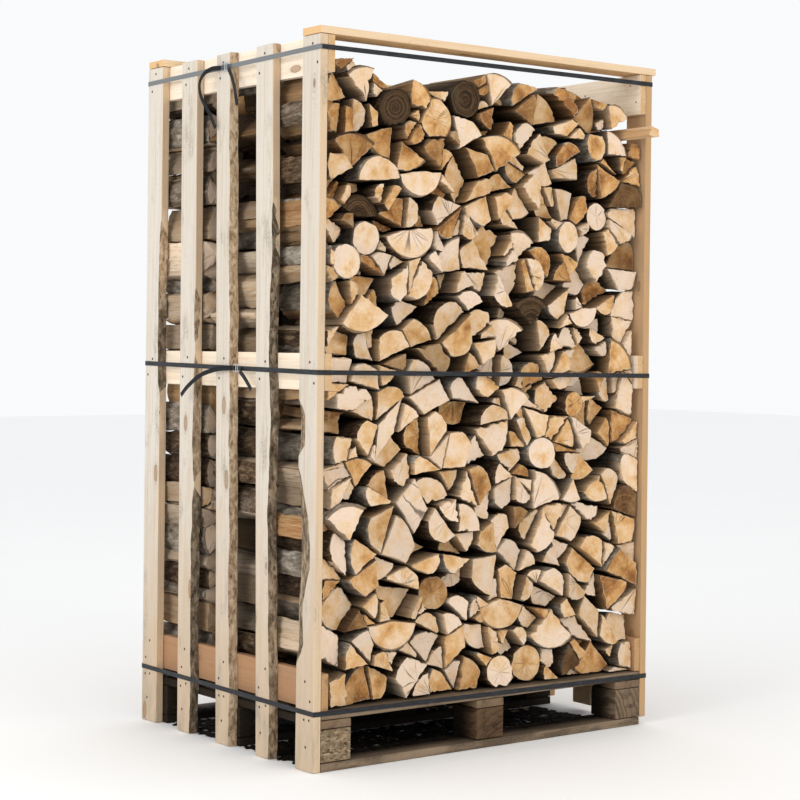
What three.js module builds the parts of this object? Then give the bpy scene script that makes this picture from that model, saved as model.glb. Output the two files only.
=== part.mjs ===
// A crate of split firewood on a block pallet. Millimetres, +Z up, open front towards -Y.
// The origin is the centre of the pallet's underside.
import * as THREE from 'three';

// Whole crate
const CRATE_WIDTH = 1120;
const CRATE_DEPTH = 836;
const SLAT_TOP = 1800;
const GAP = 0.3;

// Pallet
const BOARD_THICK = 22;
const BOARD_WIDTH = 100;
const BLOCK_WIDTH = 92;
const BLOCK_HEIGHT = 82;
const DECK_BOARDS = 6;

// Slatted sides: each slat has its middle along the depth and how far its top leans to the back
const SLAT_WIDTH = 78;
const SLAT_THICK = 22;
const LEFT_SLATS = [
  { middle: -379, lean: 0 },
  { middle: -184, lean: 32 },
  { middle: 7, lean: 30 },
  { middle: 193, lean: 11 },
  { middle: 379, lean: 0 },
];
const LEFT_SLAT_FOOT = 0;
const RIGHT_SLATS = [
  { middle: -379, lean: 0 },
  { middle: -188, lean: -10 },
  { middle: 2, lean: 14 },
  { middle: 190, lean: 8 },
  { middle: 379, lean: 0 },
];
const RIGHT_SLAT_FOOT = 20;
const RAIL_HEIGHT = 92;
const RIGHT_TOP_RAIL_HEIGHT = 110;
const RAIL_THICK = 22;
const MIDDLE_RAIL_FOOT = 930;

// Top bars
const BAR_WIDTH = 80;
const BAR_THICK = 20;
const FRONT_BAR_OVERHANG = 15;

// Straps: height at the middle, and its slope along the width and the depth
const STRAP_WIDTH = 12;
const STRAP_THICK = 1;
const STRAP_CORNER = 0.8;
const STRAPS = {
  top: { height: 1767, alongWidth: 0.007, alongDepth: -0.010 },
  middle: { height: 976, alongWidth: -0.008, alongDepth: 0.013 },
  bottom: { height: 141, alongWidth: -0.009, alongDepth: 0.005 },
};

// Wire buckles: on which side of the crate, and where along its depth
const BUCKLE_LENGTH = 36;
const BUCKLE_HEIGHT = 22;
const BUCKLE_WIRE = 3;
const BUCKLES = {
  top: { side: -1, along: 12 },
  middle: { side: -1, along: -58 },
  bottom: { side: 1, along: 5 },
};

// Loose strap ends, from their buckles outwards
const TAILS = {
  top_strap_tail_back: [
    [-567, 32, 1762], [-574, 62, 1762], [-583, 88, 1750], [-588, 101, 1724],
    [-586, 93, 1688], [-579, 68, 1650], [-571, 46, 1606],
  ],
  top_strap_tail_front: [
    [-567, -8, 1757], [-571, -30, 1734], [-576, -52, 1704], [-578, -62, 1680], [-576, -66, 1655],
  ],
  middle_strap_tail_back: [
    [-567, -38, 980], [-575, 25, 975], [-583, 90, 958], [-588, 144, 928], [-589, 176, 904],
  ],
  middle_strap_tail_front: [
    [-567, -78, 973], [-573, -110, 957], [-577, -136, 940], [-579, -152, 927],
  ],
};

// Rows of logs, one behind the other: the top of each row, from left to right
const LOG_LENGTH = 262;
const LOG_CLEARANCE = 2;
const ROW_TOPS = {
  front: [
    [-514, 1742], [-440, 1757], [-376, 1748], [-318, 1700], [-236, 1706], [-165, 1694],
    [-98, 1734], [-20, 1753], [118, 1745], [330, 1752], [405, 1722], [450, 1700],
    [458, 1616], [536, 1616],
  ],
  middle: [
    [-514, 1736], [-350, 1752], [-190, 1722], [-40, 1744], [160, 1750], [340, 1728], [514, 1716],
  ],
  back: [
    [-514, 1744], [-380, 1728], [-210, 1750], [0, 1736], [190, 1752], [360, 1730], [514, 1738],
  ],
};
const STRAY_SPLIT = { low: [464, -508, 1616.5], high: [508, -258, 1648] };

const bottomTop = BOARD_THICK;
const blockTop = bottomTop + BLOCK_HEIGHT;
const stringerTop = blockTop + BOARD_THICK;
const deckTop = stringerTop + BOARD_THICK;
const halfWidth = CRATE_WIDTH / 2;
const halfDepth = CRATE_DEPTH / 2;
const slatInner = halfWidth - SLAT_THICK - GAP;
const railInner = slatInner - RAIL_THICK;
const railFeet = {
  bottom: deckTop + GAP,
  middle: MIDDLE_RAIL_FOOT,
  top: SLAT_TOP - RAIL_HEIGHT,
};
const rightTopRailFoot = SLAT_TOP - RIGHT_TOP_RAIL_HEIGHT;

function material(color, roughness, metalness = 0) {
  return new THREE.MeshStandardMaterial({ color, roughness, metalness });
}
const slatWood = material(0xd9c8a6, 0.8);
const railWood = material(0xcdb58c, 0.8);
const palletWood = material(0x9a8266, 0.85);
const blockWood = material(0xb39468, 0.85);
const logWood = material(0xc6a479, 0.85);
const strapPlastic = material(0x23252a, 0.45);
const buckleSteel = material(0xc9ccd0, 0.35, 1);

const crate = new THREE.Group();
crate.name = 'firewood_crate';

function add(name, geometry, look) {
  const mesh = new THREE.Mesh(geometry, look);
  mesh.name = name;
  crate.add(mesh);
  return mesh;
}

function addBlock(name, look, low, high) {
  const size = high.map((value, axis) => value - low[axis]);
  const mesh = add(name, new THREE.BoxGeometry(...size), look);
  mesh.position.set(...low.map((value, axis) => (value + high[axis]) / 2));
  return mesh;
}

// Pallet: bottom boards, blocks, stringers and deck boards, from the floor up
const rowNames = ['front', 'middle', 'back'];
const columnNames = ['left', 'middle', 'right'];
const rowMiddles = [-1, 0, 1].map((step) => step * (halfDepth - BOARD_WIDTH / 2));
const columnMiddles = [-1, 0, 1].map((step) => step * (slatInner - BLOCK_WIDTH / 2));
rowMiddles.forEach((y, row) => {
  const front = y - BOARD_WIDTH / 2;
  const back = y + BOARD_WIDTH / 2;
  addBlock(`bottom_board_${rowNames[row]}`, palletWood,
    [-slatInner, front, 0], [slatInner, back, bottomTop]);
  columnMiddles.forEach((x, column) => {
    addBlock(`block_${rowNames[row]}_${columnNames[column]}`, blockWood,
      [x - BLOCK_WIDTH / 2, front, bottomTop + GAP], [x + BLOCK_WIDTH / 2, back, blockTop]);
  });
});
columnMiddles.forEach((x, column) => {
  addBlock(`stringer_${columnNames[column]}`, palletWood,
    [x - BLOCK_WIDTH / 2, -halfDepth, blockTop + GAP],
    [x + BLOCK_WIDTH / 2, halfDepth, stringerTop]);
});
const deckPitch = (CRATE_DEPTH - BOARD_WIDTH) / (DECK_BOARDS - 1);
for (let board = 0; board < DECK_BOARDS; board += 1) {
  const front = -halfDepth + board * deckPitch;
  addBlock(`deck_board_${board + 1}`, palletWood,
    [-slatInner, front, stringerTop + GAP], [slatInner, front + BOARD_WIDTH, deckTop]);
}

// Sides: slats numbered from the front, nailed to the pallet's ends and to three rails
function addSide(side, label, slats, foot, topRailFoot) {
  const across = (near, far) => [side * near, side * far].sort((a, b) => a - b);
  const [slatLow, slatHigh] = across(slatInner + GAP, halfWidth);
  slats.forEach(({ middle, lean }, index) => {
    const angle = -Math.atan(lean / (SLAT_TOP - foot));
    const lift = Math.abs(Math.sin(angle)) * SLAT_WIDTH / 2;
    const slat = addBlock(`${label}_slat_${index + 1}`, slatWood,
      [slatLow, middle - SLAT_WIDTH / 2, foot + lift],
      [slatHigh, middle + SLAT_WIDTH / 2, SLAT_TOP + lift - (lean ? 1 : 0)]);
    slat.rotation.x = angle;
  });
  const [railLow, railHigh] = across(railInner, slatInner);
  Object.entries({ ...railFeet, top: topRailFoot }).forEach(([level, railFoot]) => {
    const railTop = railFeet[level] + RAIL_HEIGHT;
    addBlock(`${label}_rail_${level}`, railWood,
      [railLow, -halfDepth, railFoot], [railHigh, halfDepth, railTop]);
  });
}
addSide(-1, 'left', LEFT_SLATS, LEFT_SLAT_FOOT, railFeet.top);
addSide(1, 'right', RIGHT_SLATS, RIGHT_SLAT_FOOT, rightTopRailFoot);

// Top bars across the slat tops
addBlock('top_bar_front', slatWood,
  [-halfWidth, -halfDepth, SLAT_TOP + GAP],
  [halfWidth + FRONT_BAR_OVERHANG, -halfDepth + BAR_WIDTH, SLAT_TOP + BAR_THICK]);
addBlock('top_bar_back', slatWood,
  [-halfWidth, halfDepth - BAR_WIDTH, SLAT_TOP + GAP],
  [halfWidth, halfDepth, SLAT_TOP + BAR_THICK]);

// Logs: each row is one body whose sides step in beside the rails; the wider top rail sets both sides
function rowOutline(top) {
  const wide = slatInner - LOG_CLEARANCE;
  const narrow = railInner - LOG_CLEARANCE;
  const side = [[narrow, deckTop + LOG_CLEARANCE]];
  [railFeet.bottom, railFeet.middle].forEach((foot) => {
    const under = foot - LOG_CLEARANCE;
    const over = foot + RAIL_HEIGHT + LOG_CLEARANCE;
    if (under > deckTop) {
      side.push([wide, under], [narrow, under]);
    }
    side.push([narrow, over], [wide, over]);
  });
  const close = (end) => {
    const under = rightTopRailFoot - LOG_CLEARANCE;
    return Math.abs(end[0]) < wide - 1 ? [[wide, under], [narrow, under]] : [];
  };
  const left = [...side, ...close(top[0])].map(([x, z]) => [-x, z]);
  const right = [...side, ...close(top[top.length - 1])];
  const points = [...left, ...top, ...right.reverse()];
  return new THREE.Shape(points.map(([x, z]) => new THREE.Vector2(x, z)));
}
const rowPitch = (CRATE_DEPTH - 2 * LOG_CLEARANCE - LOG_LENGTH) / 2;
rowNames.forEach((row, index) => {
  const geometry = new THREE.ExtrudeGeometry(rowOutline(ROW_TOPS[row]),
    { depth: LOG_LENGTH, bevelEnabled: false });
  geometry.rotateX(Math.PI / 2);
  geometry.translate(0, (index - 1) * rowPitch + LOG_LENGTH / 2, 0);
  add(`logs_${row}_row`, geometry, logWood);
});
addBlock('stray_split', logWood, STRAY_SPLIT.low, STRAY_SPLIT.high);

// Straps: flat bands drawn tight around the four corner slats
function bandPath(width, depth, corner) {
  const path = new THREE.Path();
  path.moveTo(-width + corner, -depth);
  path.lineTo(width - corner, -depth);
  path.absarc(width - corner, -depth + corner, corner, -Math.PI / 2, 0);
  path.lineTo(width, depth - corner);
  path.absarc(width - corner, depth - corner, corner, 0, Math.PI / 2);
  path.lineTo(-width + corner, depth);
  path.absarc(-width + corner, depth - corner, corner, Math.PI / 2, Math.PI);
  path.lineTo(-width, -depth + corner);
  path.absarc(-width + corner, -depth + corner, corner, Math.PI, 1.5 * Math.PI);
  return path;
}
const strapInner = { width: halfWidth + GAP, depth: halfDepth + GAP };
const strapOuter = halfWidth + GAP + STRAP_THICK;
function strapHeight({ height, alongWidth, alongDepth }, x, y) {
  return height + alongWidth * x + alongDepth * y;
}
Object.entries(STRAPS).forEach(([level, strap]) => {
  const band = new THREE.Shape(bandPath(strapInner.width + STRAP_THICK,
    strapInner.depth + STRAP_THICK, STRAP_CORNER + STRAP_THICK).getPoints(4));
  band.holes.push(new THREE.Path(bandPath(strapInner.width, strapInner.depth,
    STRAP_CORNER).getPoints(4)));
  const geometry = new THREE.ExtrudeGeometry(band, { depth: STRAP_WIDTH, bevelEnabled: false });
  const place = geometry.attributes.position;
  for (let i = 0; i < place.count; i += 1) {
    const middle = strapHeight(strap, place.getX(i), place.getY(i));
    place.setZ(i, place.getZ(i) - STRAP_WIDTH / 2 + middle);
  }
  add(`${level}_strap`, geometry, strapPlastic);
});

// Wire buckles on the straps: a rounded frame with a bar across its middle
function roundedRectangle(path, left, bottom, width, height, corner) {
  path.moveTo(left + corner, bottom);
  path.lineTo(left + width - corner, bottom);
  path.absarc(left + width - corner, bottom + corner, corner, -Math.PI / 2, 0);
  path.lineTo(left + width, bottom + height - corner);
  path.absarc(left + width - corner, bottom + height - corner, corner, 0, Math.PI / 2);
  path.lineTo(left + corner, bottom + height);
  path.absarc(left + corner, bottom + height - corner, corner, Math.PI / 2, Math.PI);
  path.lineTo(left, bottom + corner);
  path.absarc(left + corner, bottom + corner, corner, Math.PI, 1.5 * Math.PI);
  return path;
}
const ontoSide = new THREE.Matrix4().makeBasis(new THREE.Vector3(0, 1, 0),
  new THREE.Vector3(0, 0, 1), new THREE.Vector3(1, 0, 0));
Object.entries(BUCKLES).forEach(([level, { side, along }]) => {
  const frame = roundedRectangle(new THREE.Shape(), -BUCKLE_LENGTH / 2, -BUCKLE_HEIGHT / 2,
    BUCKLE_LENGTH, BUCKLE_HEIGHT, 5);
  const slotLength = (BUCKLE_LENGTH - 3 * BUCKLE_WIRE) / 2;
  [-BUCKLE_LENGTH / 2 + BUCKLE_WIRE, BUCKLE_WIRE / 2].forEach((left) => {
    frame.holes.push(roundedRectangle(new THREE.Path(), left, -BUCKLE_HEIGHT / 2 + BUCKLE_WIRE,
      slotLength, BUCKLE_HEIGHT - 2 * BUCKLE_WIRE, 2));
  });
  const geometry = new THREE.ExtrudeGeometry(frame,
    { depth: BUCKLE_WIRE, bevelEnabled: false, curveSegments: 3 });
  geometry.applyMatrix4(ontoSide);
  const near = strapOuter + GAP;
  const low = side > 0 ? near : -near - BUCKLE_WIRE;
  geometry.translate(low, along, strapHeight(STRAPS[level], side * halfWidth, along));
  add(`${level}_buckle`, geometry, buckleSteel);
});

// Loose strap ends
const tailSection = new THREE.Shape([
  new THREE.Vector2(-STRAP_WIDTH / 2, -STRAP_THICK / 2),
  new THREE.Vector2(STRAP_WIDTH / 2, -STRAP_THICK / 2),
  new THREE.Vector2(STRAP_WIDTH / 2, STRAP_THICK / 2),
  new THREE.Vector2(-STRAP_WIDTH / 2, STRAP_THICK / 2),
]);
Object.entries(TAILS).forEach(([name, points]) => {
  const route = new THREE.CatmullRomCurve3(points.map((point) => new THREE.Vector3(...point)));
  add(name, new THREE.ExtrudeGeometry(tailSection, { steps: 16, extrudePath: route }),
    strapPlastic);
});

export default crate;
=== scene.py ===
# %% [markdown]
# # A crate of split firewood
# This notebook dresses a measured model of a firewood crate: a block pallet, two slatted sides, two
# top bars, three straps and some eleven hundred split logs. The measured model is the frame. It gives
# every board its place, and nothing here changes its size. We work in metres, with +Z up and the open
# front towards -Y.

# %% Load the frame
import math
import bpy
import numpy as np
from mathutils import Euler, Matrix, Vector
from mathutils.geometry import delaunay_2d_cdt


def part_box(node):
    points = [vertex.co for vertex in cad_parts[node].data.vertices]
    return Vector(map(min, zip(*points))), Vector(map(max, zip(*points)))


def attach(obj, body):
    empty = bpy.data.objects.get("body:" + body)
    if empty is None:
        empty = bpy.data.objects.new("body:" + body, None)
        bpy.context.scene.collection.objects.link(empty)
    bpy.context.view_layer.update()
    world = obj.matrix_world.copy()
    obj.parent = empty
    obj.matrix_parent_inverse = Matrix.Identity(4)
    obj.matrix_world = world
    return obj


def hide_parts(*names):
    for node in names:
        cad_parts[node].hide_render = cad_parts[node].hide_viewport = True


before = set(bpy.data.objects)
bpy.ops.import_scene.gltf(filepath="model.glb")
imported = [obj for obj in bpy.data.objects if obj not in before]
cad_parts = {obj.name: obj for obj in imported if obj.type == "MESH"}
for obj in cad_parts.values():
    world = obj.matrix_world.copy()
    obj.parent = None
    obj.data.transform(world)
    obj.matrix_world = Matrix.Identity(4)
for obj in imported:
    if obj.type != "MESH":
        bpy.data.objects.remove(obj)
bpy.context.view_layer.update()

# %% [markdown]
# ## Writing shader maths as sums
# A procedural finish is mostly arithmetic: stretch a noise, bend it, compare it, mix two colours by it.
# Adding each Math node by hand hides that, so a small class wraps a socket and lets Python's own
# operators add the nodes. A second class holds one material and adds any other node.

# %% A socket that can be added, multiplied and compared
class Wave:
    """One value that varies over a surface."""

    def __init__(self, finish, socket):
        self.finish = finish
        self.socket = socket

    def math(self, operation, *others):
        settings = {"operation": operation}
        return self.finish.node("ShaderNodeMath", settings, dict(enumerate((self,) + others)))

    def __add__(self, other):
        return self.math("ADD", other)

    def __sub__(self, other):
        return self.math("SUBTRACT", other)

    def __mul__(self, other):
        return self.math("MULTIPLY", other)

    def __truediv__(self, other):
        return self.math("DIVIDE", other)

    def __pow__(self, other):
        return self.math("POWER", other)

    def __rsub__(self, other):
        return self.finish.node("ShaderNodeMath", {"operation": "SUBTRACT"}, {0: other, 1: self})

    __radd__ = __add__
    __rmul__ = __mul__

    def step(self, low, high):
        """0 below low, 1 above high, with a soft rise between; low may be above high."""
        sockets = {"Value": self, "From Min": low, "From Max": high}
        return self.finish.node("ShaderNodeMapRange", {"interpolation_type": "SMOOTHSTEP"}, sockets)


# %% A material that adds nodes on request
class Finish:
    """A material under construction; raw wood has little shine."""

    def __init__(self, name, shine=0.12):
        self.material = bpy.data.materials.new(name)
        self.material.use_nodes = True
        self.tree = self.material.node_tree
        self.shader = self.tree.nodes["Principled BSDF"]
        self.shader.inputs["Specular IOR Level"].default_value = shine

    def node(self, kind, settings=None, sockets=None, output=0):
        made = self.tree.nodes.new(kind)
        for name, value in (settings or {}).items():
            if name == "stops":
                self.set_stops(made.color_ramp, value)
            else:
                setattr(made, name, value)
        for name, value in (sockets or {}).items():
            self.plug(made.inputs[name], value)
        return Wave(self, made.outputs[output])

    def plug(self, socket, value):
        if isinstance(value, Wave):
            self.tree.links.new(value.socket, socket)
        elif socket.type == "RGBA" and len(value) == 3:
            socket.default_value = (*value, 1)
        else:
            socket.default_value = value

    def set_stops(self, ramp, stops):
        while len(ramp.elements) < len(stops):
            ramp.elements.new(1)
        for element, (place, colour) in zip(ramp.elements, stops):
            element.position = place
            element.color = (*colour, 1)

    def mix(self, under, over, amount):
        """One colour over another: sockets 6 and 7 of a Mix node are its two colours."""
        return self.node("ShaderNodeMix", {"data_type": "RGBA"}, {0: amount, 6: under, 7: over}, output=2)

    def ramp(self, value, stops):
        return self.node("ShaderNodeValToRGB", {"stops": stops}, {0: value})

    def place(self):
        """Where a point is on its own object, so that the pattern stays on the piece."""
        return self.node("ShaderNodeTexCoord", output="Object")

    def stretched(self, place, sizes, seed=None):
        """The place in units of sizes, moved by a seed so that no two boards match."""
        scale = tuple(1 / size for size in sizes)
        moved = self.node("ShaderNodeVectorMath", {"operation": "MULTIPLY"}, {0: place, 1: scale})
        if seed is None:
            return moved
        return self.node("ShaderNodeVectorMath", {"operation": "ADD"}, {0: moved, 1: seed})

    def noise(self, place, detail=3.0, rough=0.55, twist=0.0):
        sockets = {"Vector": place, "Scale": 1.0, "Detail": detail, "Roughness": rough,
                   "Distortion": twist}
        return self.node("ShaderNodeTexNoise", None, sockets)

    def cells(self, place, output="Distance"):
        return self.node("ShaderNodeTexVoronoi", None, {"Vector": place, "Scale": 1.0}, output)

    def attribute(self, name, output="Vector"):
        return self.node("ShaderNodeAttribute", {"attribute_name": name}, None, output)

    def parts(self, vector):
        made = self.tree.nodes.new("ShaderNodeSeparateXYZ")
        self.tree.links.new(vector.socket, made.inputs[0])
        return [Wave(self, socket) for socket in made.outputs]

    def join(self, x, y, z):
        return self.node("ShaderNodeCombineXYZ", None, {0: x, 1: y, 2: z})

    def finish(self, colour, rough, height=None, depth=0.001):
        self.plug(self.shader.inputs["Base Color"], colour)
        self.plug(self.shader.inputs["Roughness"], rough)
        if height is not None:
            sockets = {"Height": height, "Distance": depth, "Strength": 1.0}
            bump = self.node("ShaderNodeBump", None, sockets)
            self.plug(self.shader.inputs["Normal"], bump)
        print("finish:", self.material.name, len(self.tree.nodes), "nodes")
        return self.material


# %% [markdown]
# ## The finish of a sawn board
# Slats, rails and pallet boards are rough-sawn softwood: long streaks of grain, a few knots, fine saw
# ripple across the board, grey and brown stains. The streaks follow each board's length, so the noise
# is stretched along one axis. Every board carries numbers of its own, an attribute called *board_seed*,
# which move the pattern. The attribute *edge* is 1 on faces that look to the front or the back: they
# were sheltered by the next board and are fresher than the weathered outside, and their colour is also
# painted light, the warmer, lit look of faces that turn to the front. Faces that kept the tree's bark
# have *bark* above 0: near 0 for dark outer bark, 1 for the paler inner bark.

# %% Sawn wood
DARK_BARK = [(0.30, (0.026, 0.018, 0.012)), (0.46, (0.105, 0.078, 0.050)),
             (0.60, (0.25, 0.195, 0.135)), (0.76, (0.46, 0.39, 0.30))]
PALE_BARK = [(0.28, (0.085, 0.048, 0.025)), (0.42, (0.37, 0.245, 0.145)),
             (0.58, (0.62, 0.47, 0.31)), (0.76, (0.76, 0.64, 0.50))]
KNOT = (0.36, 0.215, 0.115)
KNOT_RIM = (0.085, 0.045, 0.022)
BARK_PIT = (0.035, 0.024, 0.017)
INSIDE_SHADE = (0.012, 0.009, 0.006)
# Distances from the crate's middle (m): the pallet's outside, and where the painted shade inside it is full.
SHADE_DEPTHS = (0.417, 0.345)
SHADE_WIDTHS = (0.562, 0.54)
X, Y, Z = range(3)


def paint_inside_shade(wood, colour, place):
    """Painted shade under the load: the pallet is darkened inside, and only its outside is left bleached."""
    x, y = wood.parts(place)[:2]
    deep_in = y.math("ABSOLUTE").step(*SHADE_DEPTHS) * x.math("ABSOLUTE").step(*SHADE_WIDTHS)
    return wood.mix(colour, INSIDE_SHADE, deep_in * 0.95)


def sawn_wood(name, along, face, edge, foot, deep, stain, stain_share, shaded_within=False):
    """Sawn softwood whose grain runs along an axis; foot is its colour low on the crate, edge is partly
    painted light on faces that look to the front, and the last flag adds painted shade inside the pallet.
    """
    wood = Finish(name)
    place = wood.place()
    seed = wood.attribute("board_seed")

    def grain_size(across, length):
        return tuple(length if axis == along else across for axis in range(3))

    # Grain, stains, saw marks and knots.
    streak = wood.noise(wood.stretched(place, grain_size(0.007, 0.34), seed), 4, 0.6, 0.3)
    fibre = wood.noise(wood.stretched(place, grain_size(0.0018, 0.06), seed), 3, 0.7)
    blotch = wood.noise(wood.stretched(place, grain_size(0.05, 0.18), seed), 4, 0.62)
    ripple = wood.noise(wood.stretched(place, grain_size(0.05, 0.0042), seed), 2, 0.6)
    speckle = wood.noise(wood.stretched(place, grain_size(0.0045, 0.007), seed), 3, 0.7)
    knot_far = wood.cells(wood.stretched(place, grain_size(0.080, 0.21), seed)) + (streak - 0.5) * 0.05
    knot = knot_far.step(0.13, 0.10)
    knot_rim = knot * knot_far.step(0.085, 0.115)
    knot_ring = (knot_far * 95).math("SINE").step(-0.2, 0.9) * knot_far.step(0.27, 0.12)

    # The bare wood.
    z = wood.parts(place)[2]
    own_shade = wood.parts(seed)[0].math("FRACT")
    # Faces that look to the front or back take the edge colour: partly painted light, a warmer lit look.
    at_edge = wood.attribute("edge", "Fac").step(0.45, 0.75)
    colour = wood.mix(face, foot, (z + (blotch - 0.5) * 0.9).step(0.85, 0.05) * 0.85)
    colour = wood.mix(colour, edge, at_edge)
    colour = wood.mix(colour, deep, own_shade * 0.35)
    colour = wood.mix(colour, deep, streak.step(0.42, 0.72) * 0.6)
    colour = wood.mix(colour, deep, fibre.step(0.5, 0.8) * 0.35)
    colour = wood.mix(colour, deep, ripple.step(0.54, 0.80) * 0.25)
    mould = blotch.step(0.68 - stain_share, 0.84 - stain_share) * (0.25 + speckle.step(0.42, 0.62) * 0.55)
    colour = wood.mix(colour, stain, mould)
    colour = wood.mix(colour, stain, z.step(0.30, 0.04) * blotch.step(0.40, 0.66) * 0.45)
    colour = wood.mix(colour, tuple(0.5 * part for part in deep), knot_ring * 0.32)
    colour = wood.mix(colour, KNOT, knot * 0.7)
    colour = wood.mix(colour, KNOT_RIM, knot_rim * 0.6)

    # Bark, where a face has it.
    bark_tone = wood.attribute("bark", "Fac")
    bark = bark_tone.step(0.02, 0.06)
    flake = wood.noise(wood.stretched(place, grain_size(0.012, 0.030), seed), 5, 0.68, 0.6)
    mottle = wood.noise(wood.stretched(place, grain_size(0.05, 0.11), seed), 3, 0.6)
    age = (bark_tone + (mottle - 0.5) * 1.1).step(0.1, 0.9)
    crust = wood.mix(wood.ramp(flake, DARK_BARK), wood.ramp(flake, PALE_BARK), age)
    pits = wood.cells(wood.stretched(place, grain_size(0.013, 0.026), seed)).step(0.34, 0.20)
    crust = wood.mix(crust, BARK_PIT, pits * mottle.step(0.40, 0.58) * (0.85 - age * 0.45))
    colour = wood.mix(colour, crust, bark)
    # Painted shade inside the pallet, where the load keeps the light out.
    if shaded_within:
        colour = paint_inside_shade(wood, colour, place)

    height = streak * 0.35 + fibre * 0.5 + ripple * 0.45 + bark * flake * 5.0
    rough = 0.72 + fibre * 0.2
    return wood.finish(colour, rough, height, 0.0012)


GREY = (0.42, 0.37, 0.31)
SOIL = (0.075, 0.056, 0.038)
slat_wood = sawn_wood("slat_wood", Z, (0.665, 0.62, 0.555), (0.74, 0.55, 0.36), (0.57, 0.42, 0.28),
                      (0.51, 0.41, 0.30), (0.30, 0.26, 0.205), 0.13)
far_slat_wood = sawn_wood("far_slat_wood", Z, (0.58, 0.39, 0.225), (0.57, 0.35, 0.174), (0.54, 0.33, 0.16),
                          (0.46, 0.30, 0.165), (0.36, 0.30, 0.235), 0.10)
rail_wood = sawn_wood("rail_wood", Y, (0.93, 0.82, 0.69), (0.60, 0.365, 0.165), (0.45, 0.235, 0.11),
                      (0.72, 0.54, 0.35), GREY, 0.08)
low_rail_wood = sawn_wood("low_rail_wood", Y, (0.47, 0.275, 0.155), (0.56, 0.34, 0.155), (0.43, 0.24, 0.13),
                          (0.36, 0.20, 0.105), (0.28, 0.19, 0.12), 0.08)
bar_wood = sawn_wood("bar_wood", X, (0.74, 0.475, 0.235), (0.84, 0.66, 0.46), (0.74, 0.475, 0.235),
                     (0.66, 0.43, 0.225), GREY, 0.06)
# The pallet boards get the painted shade inside the pallet.
deck_wood = sawn_wood("deck_wood", X, (0.18, 0.13, 0.085), (0.31, 0.23, 0.155), (0.18, 0.13, 0.085),
                      (0.15, 0.10, 0.062), SOIL, 0.20, shaded_within=True)
stringer_wood = sawn_wood("stringer_wood", Y, (0.30, 0.20, 0.12), (0.26, 0.18, 0.115), (0.30, 0.20, 0.12),
                          (0.15, 0.095, 0.055), SOIL, 0.16, shaded_within=True)

# %% [markdown]
# ## The finish of the pallet blocks
# The left blocks are pressed from wood chips: a speckle of small slivers, each with its own brown. A
# Voronoi pattern gives every cell a chance colour of its own, and one of its numbers picks the shade. The
# others are solid wood and show rings round a pith that lies outside the block. In the middle they are
# darker, and at the right they have dried to grey-brown. Inside the pallet all blocks get painted shade.

# %% Pressed blocks and solid blocks
def pressed_block():
    wood = Finish("block_pressed")
    place = wood.place()
    seed = wood.attribute("board_seed")
    bend = wood.noise(wood.stretched(place, (0.012, 0.012, 0.012), seed), 3, 0.6, 0.8)
    slivers = wood.stretched(place, (0.0085, 0.0085, 0.0042), seed)
    shade, other = wood.parts(wood.cells(slivers, "Color"))[:2]
    dirt = wood.noise(wood.stretched(place, (0.03, 0.03, 0.02), seed), 5, 0.65)
    tone = shade * 0.75 + bend * 0.25
    colour = wood.ramp(tone, [(0.08, (0.060, 0.040, 0.024)), (0.35, (0.19, 0.128, 0.075)),
                              (0.62, (0.30, 0.205, 0.125)), (0.9, (0.46, 0.35, 0.235))])
    colour = wood.mix(colour, (0.21, 0.185, 0.115), other.step(0.6, 0.7) * 0.5)
    colour = wood.mix(colour, SOIL, dirt.step(0.50, 0.74) * 0.55)
    # Painted shade inside the pallet.
    colour = paint_inside_shade(wood, colour, place)
    return wood.finish(colour, 0.80 + shade * 0.12, shade + bend * 1.4, 0.0016)


def solid_block(name, early, late, dry):
    """Early and late are the two woods of a year's ring, and dry is what the weather has bleached."""
    wood = Finish(name)
    place = wood.place()
    seed = wood.attribute("board_seed")
    x, y, z = wood.parts(place)
    pith_x, pith_far = wood.parts(seed)[:2]
    bend = wood.noise(wood.stretched(place, (0.05, 0.05, 0.05), seed), 3, 0.6)
    across = x - pith_x * 0.01
    up = z + 0.03
    far = (across * across + up * up) ** 0.5
    rings = wood.noise(wood.join(far * 190 + bend * 4, y * 12, pith_far), 2, 0.5)
    dirt = wood.noise(wood.stretched(place, (0.035, 0.05, 0.02), seed), 5, 0.65)
    fibre = wood.noise(wood.stretched(place, (0.003, 0.05, 0.003), seed), 3, 0.7)
    colour = wood.mix(early, late, rings.step(0.38, 0.66))
    colour = wood.mix(colour, (0.022, 0.014, 0.009), dirt.step(0.46, 0.72) * 0.7)
    colour = wood.mix(colour, dry, fibre.step(0.58, 0.8) * 0.35)
    # Painted shade inside the pallet.
    colour = paint_inside_shade(wood, colour, place)
    return wood.finish(colour, 0.78 + fibre * 0.15, rings * 0.6 + fibre + dirt, 0.0016)


block_pressed = pressed_block()
block_dark = solid_block("block_dark", (0.135, 0.080, 0.043), (0.060, 0.033, 0.017), (0.22, 0.155, 0.095))
block_dry = solid_block("block_dry", (0.225, 0.162, 0.105), (0.095, 0.061, 0.036), (0.31, 0.24, 0.168))

# %% [markdown]
# ## The finish of the logs
# One material serves every log, because a piece with one material bakes to one picture. Each log brings
# its own facts as attributes: *grain* is the place measured from the pith, with the log's length as the
# third number, *log_radius* is how far the bark was from the pith, *tone* holds chance numbers for its
# colour, one more number is the painted shade that grows with the depth in the stack, *rim* is 1 round
# the edge of an end, and *kind* says what a face is: 0 for a sawn end, 1 for a split side, 2 for bark.

# %% Sawn ends, split sides and bark
SAWDUST = (0.92, 0.79, 0.64)
DEEP_SHADE = (0.007, 0.0045, 0.0025)


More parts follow.
